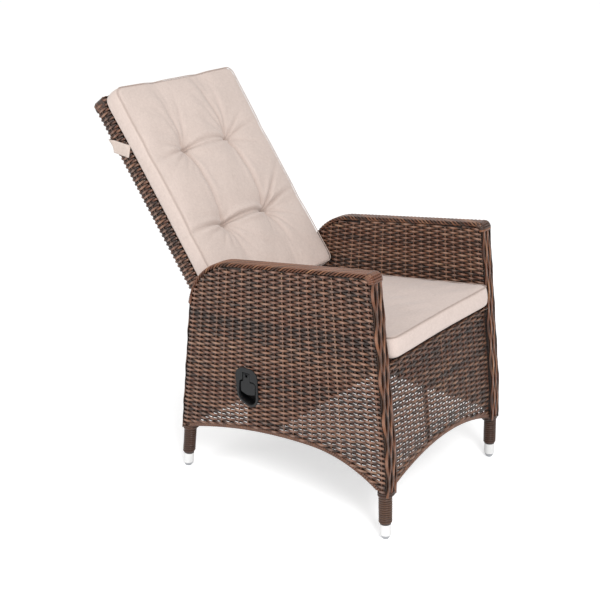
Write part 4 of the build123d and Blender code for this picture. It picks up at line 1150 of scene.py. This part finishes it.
def creases(local, spec):
    """Heights and shades of folds that run out from each tuft, on the top.

    Each is a furrow with a low ridge on both sides: depth * (0.4 * bell(across past it) - bell(across)),
    faded by exp(-(distance / reach)^1.6). It widens as it runs out, and bends by bend * distance^2.
    Six low waves in seeded directions lie over the whole top, and each tuft is shaded too.
    """
    x, y, z = local.T
    height, shade = np.zeros(len(local)), np.zeros(len(local))
    top = np.clip((z - spec["edge"] + 0.040) / 0.010, 0, 1)
    for cx, cy, angle, depth, width, reach, bend in spec["folds"]:
        dx, dy = x - cx, y - cy
        forward = dx * cos(angle) + dy * sin(angle)
        aside = -dx * sin(angle) + dy * cos(angle) - bend * forward ** 2
        spread = width + 0.03 * np.clip(forward, 0, None)
        rise = np.clip(forward / 0.004, 0, 1)
        fade = np.where(forward > 0, rise * np.exp(-(np.clip(forward, 0, None) / reach) ** 1.6), 0.0)
        ridge = bell(np.abs(aside) - 2.3 * spread, 1.3 * spread)
        height += depth * fade * (0.4 * ridge - bell(aside, spread))
        shade = np.maximum(shade, depth / 0.009 * fade * bell(aside * 1.5, spread))
    random = np.random.default_rng(5)
    for _ in range(6):
        angle, wave, phase = random.uniform(0, pi), random.uniform(0.06, 0.13), random.uniform(0, 2 * pi)
        height += 0.0005 * np.sin(2 * pi * (x * cos(angle) + y * sin(angle)) / wave + phase)
    border = np.clip(seam_distance(local, spec) / 0.012, 0, 1)
    for cx, cy in spec["tufts"]:
        shade = np.maximum(shade, bell(np.hypot(x - cx, y - cy), 0.009))
    return height * top * border, shade * top * border


def finish_cushion(piece, spec, material, body, *replaced):
    """Presses in beside the seams, adds the creases and marks both with painted shade for the finish."""
    points = points_of(piece.data)
    local = local_of(points, spec)
    distance = seam_distance(local, spec)
    origin, along, up = spec["axes"]
    inward = unit(origin + along * spec["length"] / 2 + up * spec["edge"] / 2 - points)
    groove = bell(distance - 0.0036, 0.0018) * 0.0008
    folds, shade = creases(local, spec)
    points = points + inward * groove[:, None] + up * folds[:, None]
    piece.data.vertices.foreach_set("co", points.astype(np.float32).ravel())
    # Painted shadow: a thin dark line just off the upper seam, and painted shade in the creases and at the tufts
    line = 0.5 * bell(distance - 0.0024, 0.0018) * spec["line"] * (local[:, 2] > spec["edge"] / 2)
    carry(piece.data, "seam", np.clip(line + 0.6 * shade, 0, 1))
    piece.data.polygons.foreach_set("use_smooth", np.ones(len(piece.data.polygons), bool))
    piece.data.update()
    piece.data.materials.clear()
    piece.data.materials.append(material)
    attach(piece, body)
    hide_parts(*replaced)


def piping(name, spec, body, material):
    """Corded seam: a thin round cord that follows the upper seam."""
    cord = Strands(name, 91)
    angle = np.linspace(0, 2 * pi, 8, endpoint=False)
    round_profile = np.column_stack((np.cos(angle), np.sin(angle)))
    x, y = cushion_outline(spec, -0.0003, 420)
    points = world_of(np.column_stack((x, y, seam_height(x, y, spec) - 0.0001)), spec)
    cord.add(points, spec["axes"][2], PIPING_WIDTH, PIPING_WIDTH, round_profile, closed=True)
    piece = cord.make(body=body, slot="cushion_cloth", material=material)
    # Painted shade: the cord is darkened by the same seam number
    carry(piece.data, "seam", np.full(len(piece.data.vertices), 0.8 * spec["line"]))


def tuft_folds():
    """Folds as they are seen at each tuft, as (degrees, depth, reach in mm, bend), and fine seeded ones."""
    seen = {
        (-TUFT_X, TUFT_HIGH): ((182, 3.6, 90, 0.8), (163, 2.4, 60, 0), (208, 2.4, 70, 0), (232, 1.8, 60, 0),
                               (268, 3.4, 130, 0.3), (15, 3.8, 90, -1.6), (-6, 3.4, 90, 0.8), (96, 2.2, 120, 0),
                               (112, 1.6, 80, 0), (76, 1.6, 110, 0)),
        (TUFT_X, TUFT_HIGH): ((18, 3.0, 80, -0.5), (44, 2.6, 70, -1.0), (-24, 1.6, 60, 0), (165, 3.8, 90, 1.6),
                              (187, 3.2, 90, -0.8), (272, 3.4, 140, -0.3), (97, 3.2, 150, 0.3), (82, 2.0, 110, 0),
                              (116, 1.8, 90, 0), (140, 1.4, 60, 0)),
        (-TUFT_X, TUFT_LOW): ((170, 5.2, 110, 1.2), (196, 2.4, 70, 0), (13, 5.0, 100, -1.6), (-4, 4.0, 100, 0.8),
                              (92, 3.0, 110, 0), (272, 2.4, 70, 0), (292, 2.0, 80, 0), (250, 1.6, 60, 0),
                              (318, 1.4, 70, 0), (225, 1.6, 60, 0)),
        (TUFT_X, TUFT_LOW): ((22, 4.6, 100, -1.0), (50, 4.2, 110, -0.6), (167, 5.0, 100, 1.6), (184, 4.0, 100, -0.8),
                             (90, 3.0, 120, 0), (278, 2.4, 80, 0), (300, 2.0, 90, 0), (-28, 1.8, 90, 0),
                             (245, 1.4, 60, 0)),
    }
    random = np.random.default_rng(7)
    folds = []
    for (cx, cy), lines in seen.items():
        for angle, depth, reach, bend in lines:
            folds.append((cx, cy, radians(angle), FOLD_DEPTH * depth, FOLD_WIDTH, reach / 1000, bend))
        for angle in np.arange(14) * pi / 7 + random.uniform(-0.15, 0.15, 14):
            folds.append((cx, cy, float(angle), float(random.uniform(0.0008, 0.0018)), 0.0026,
                          float(random.uniform(0.018, 0.036)), 0.0))
    return folds


# line sets how dark the painted shadow along the upper seam is
SEAT_SPEC = {"half": CUSHION_HALF, "length": 0.4846, "low": 0.0085, "edge": 0.0610, "crown": 0.009, "draw": 0.003,
             "tufts": [], "folds": [], "axes": (SEAT_ORIGIN, SEAT_ALONG, SEAT_UP), "pressure": 2.5, "cap": 0.010,
             "fill": 0.8, "line": 0.9}
BACK_SPEC = {"half": CUSHION_HALF, "length": 0.6396, "low": 0.0030, "edge": 0.0575, "crown": 0.011, "draw": 0.003,
             "tufts": TUFTS, "folds": tuft_folds(), "axes": (BACK_ORIGIN, BACK_ALONG, BACK_UP), "pressure": 5.0,
             "cap": 0.022, "fill": 0.7, "line": 0.45}

for name, spec, material, body, node in (
        ("seat_cushion_cover", SEAT_SPEC, SEAT_CLOTH, "frame", "seat_cushion"),
        ("back_cushion_cover", BACK_SPEC, BACK_CLOTH, "backrest", "back_cushion")):
    finish_cushion(stuffed(cushion_mesh(name, spec), spec), spec, material, body, node)
    piping(name.replace("cover", "piping"), spec, body, material)

# Floor, light and camera


def looked_at(nodes):
    """1 for rays of the camera, of reflections and through clear matter, and 0 for the light's own."""
    total = nodes.node("LightPath", None, None, "Is Camera Ray")
    rays = total.socket.node.outputs
    for kind in ("Is Glossy Ray", "Is Transmission Ray"):
        total = nodes.node("Math", {"operation": "ADD", "use_clamp": True}, {0: total, 1: Signal(nodes, rays[kind])})
    return total


def floor():
    """A broad flat sheet of 24 by 24 quads, which glows a little where the camera or a reflection sees it."""
    n, reach = 25, 40.0
    grid = np.linspace(-reach, reach, n)
    x, y = np.meshgrid(grid, grid, indexing="ij")
    points = np.column_stack((x.ravel(), y.ravel(), np.full(n * n, -0.0004)))
    i, j = np.meshgrid(np.arange(n - 1), np.arange(n - 1), indexing="ij")
    a = (i * n + j).ravel()
    mesh = mesh_from("studio_floor", points, np.stack((a, a + n, a + n + 1, a + 1), axis=1))
    finish = Finish("studio_floor_finish", roughness=0.95, base_color=(0.90, 0.90, 0.90))
    plain = Signal(finish, finish.shader.outputs[0])
    glowing = finish.node("AddShader", None, {0: plain, 1: finish.node("Emission", None, {"Strength": 0.44})})
    finish.feed(finish.surface, finish.node("MixShader", None, {0: looked_at(finish), 1: plain, 2: glowing}))
    mesh.materials.append(finish.material)
    piece = linked("studio_floor", mesh)


def aimed(name, data, place, forward):
    """An object at a place, turned so that its own -Z looks forward."""
    made = linked(name, data)
    made.location = place
    made.rotation_euler = forward.to_track_quat("-Z", "Y").to_euler()
    return made


def lamp(name, place, aim, size, power):
    """A square soft light turned towards a point."""
    light = bpy.data.lights.new(name, "AREA")
    light.size, light.energy = size, power
    aimed(name, light, place, Vector(aim) - Vector(place))


def world(strength, colour):
    """Even pale surroundings, white where the camera or a reflection sees them."""
    made = bpy.data.worlds.new("studio")
    bpy.context.scene.world = made
    made.use_nodes = True
    nodes = Nodes(made.node_tree)
    soft = nodes.node("Background", None, {"Color": colour, "Strength": strength})
    white = nodes.node("Background", None, {"Color": (1.0, 1.0, 1.0)})
    seen = nodes.node("MixShader", None, {0: looked_at(nodes), 1: soft, 2: white})
    nodes.node("OutputWorld", None, {"Surface": seen})


def camera():
    """The photograph's view: place, heading and dip, with a long lens and no roll."""
    heading, dip = radians(36.46), radians(19.79)
    forward = Vector((cos(heading) * cos(dip), sin(heading) * cos(dip), -sin(dip)))
    data = bpy.data.cameras.new("camera")
    data.lens, data.sensor_width = 69.51, 36
    bpy.context.scene.camera = aimed("camera", data, (-2.3963, -1.6327, 1.5166), forward)


floor()
lamp("key", (-2.6, -3.2, 3.4), (0, 0, 0.5), 1.6, 155)
lamp("fill", (-3.6, 1.2, 2.2), (0, 0, 0.5), 2.0, 40)
world(0.62, (1.0, 1.0, 1.0))
camera()
bpy.context.scene.view_settings.view_transform = "Standard"
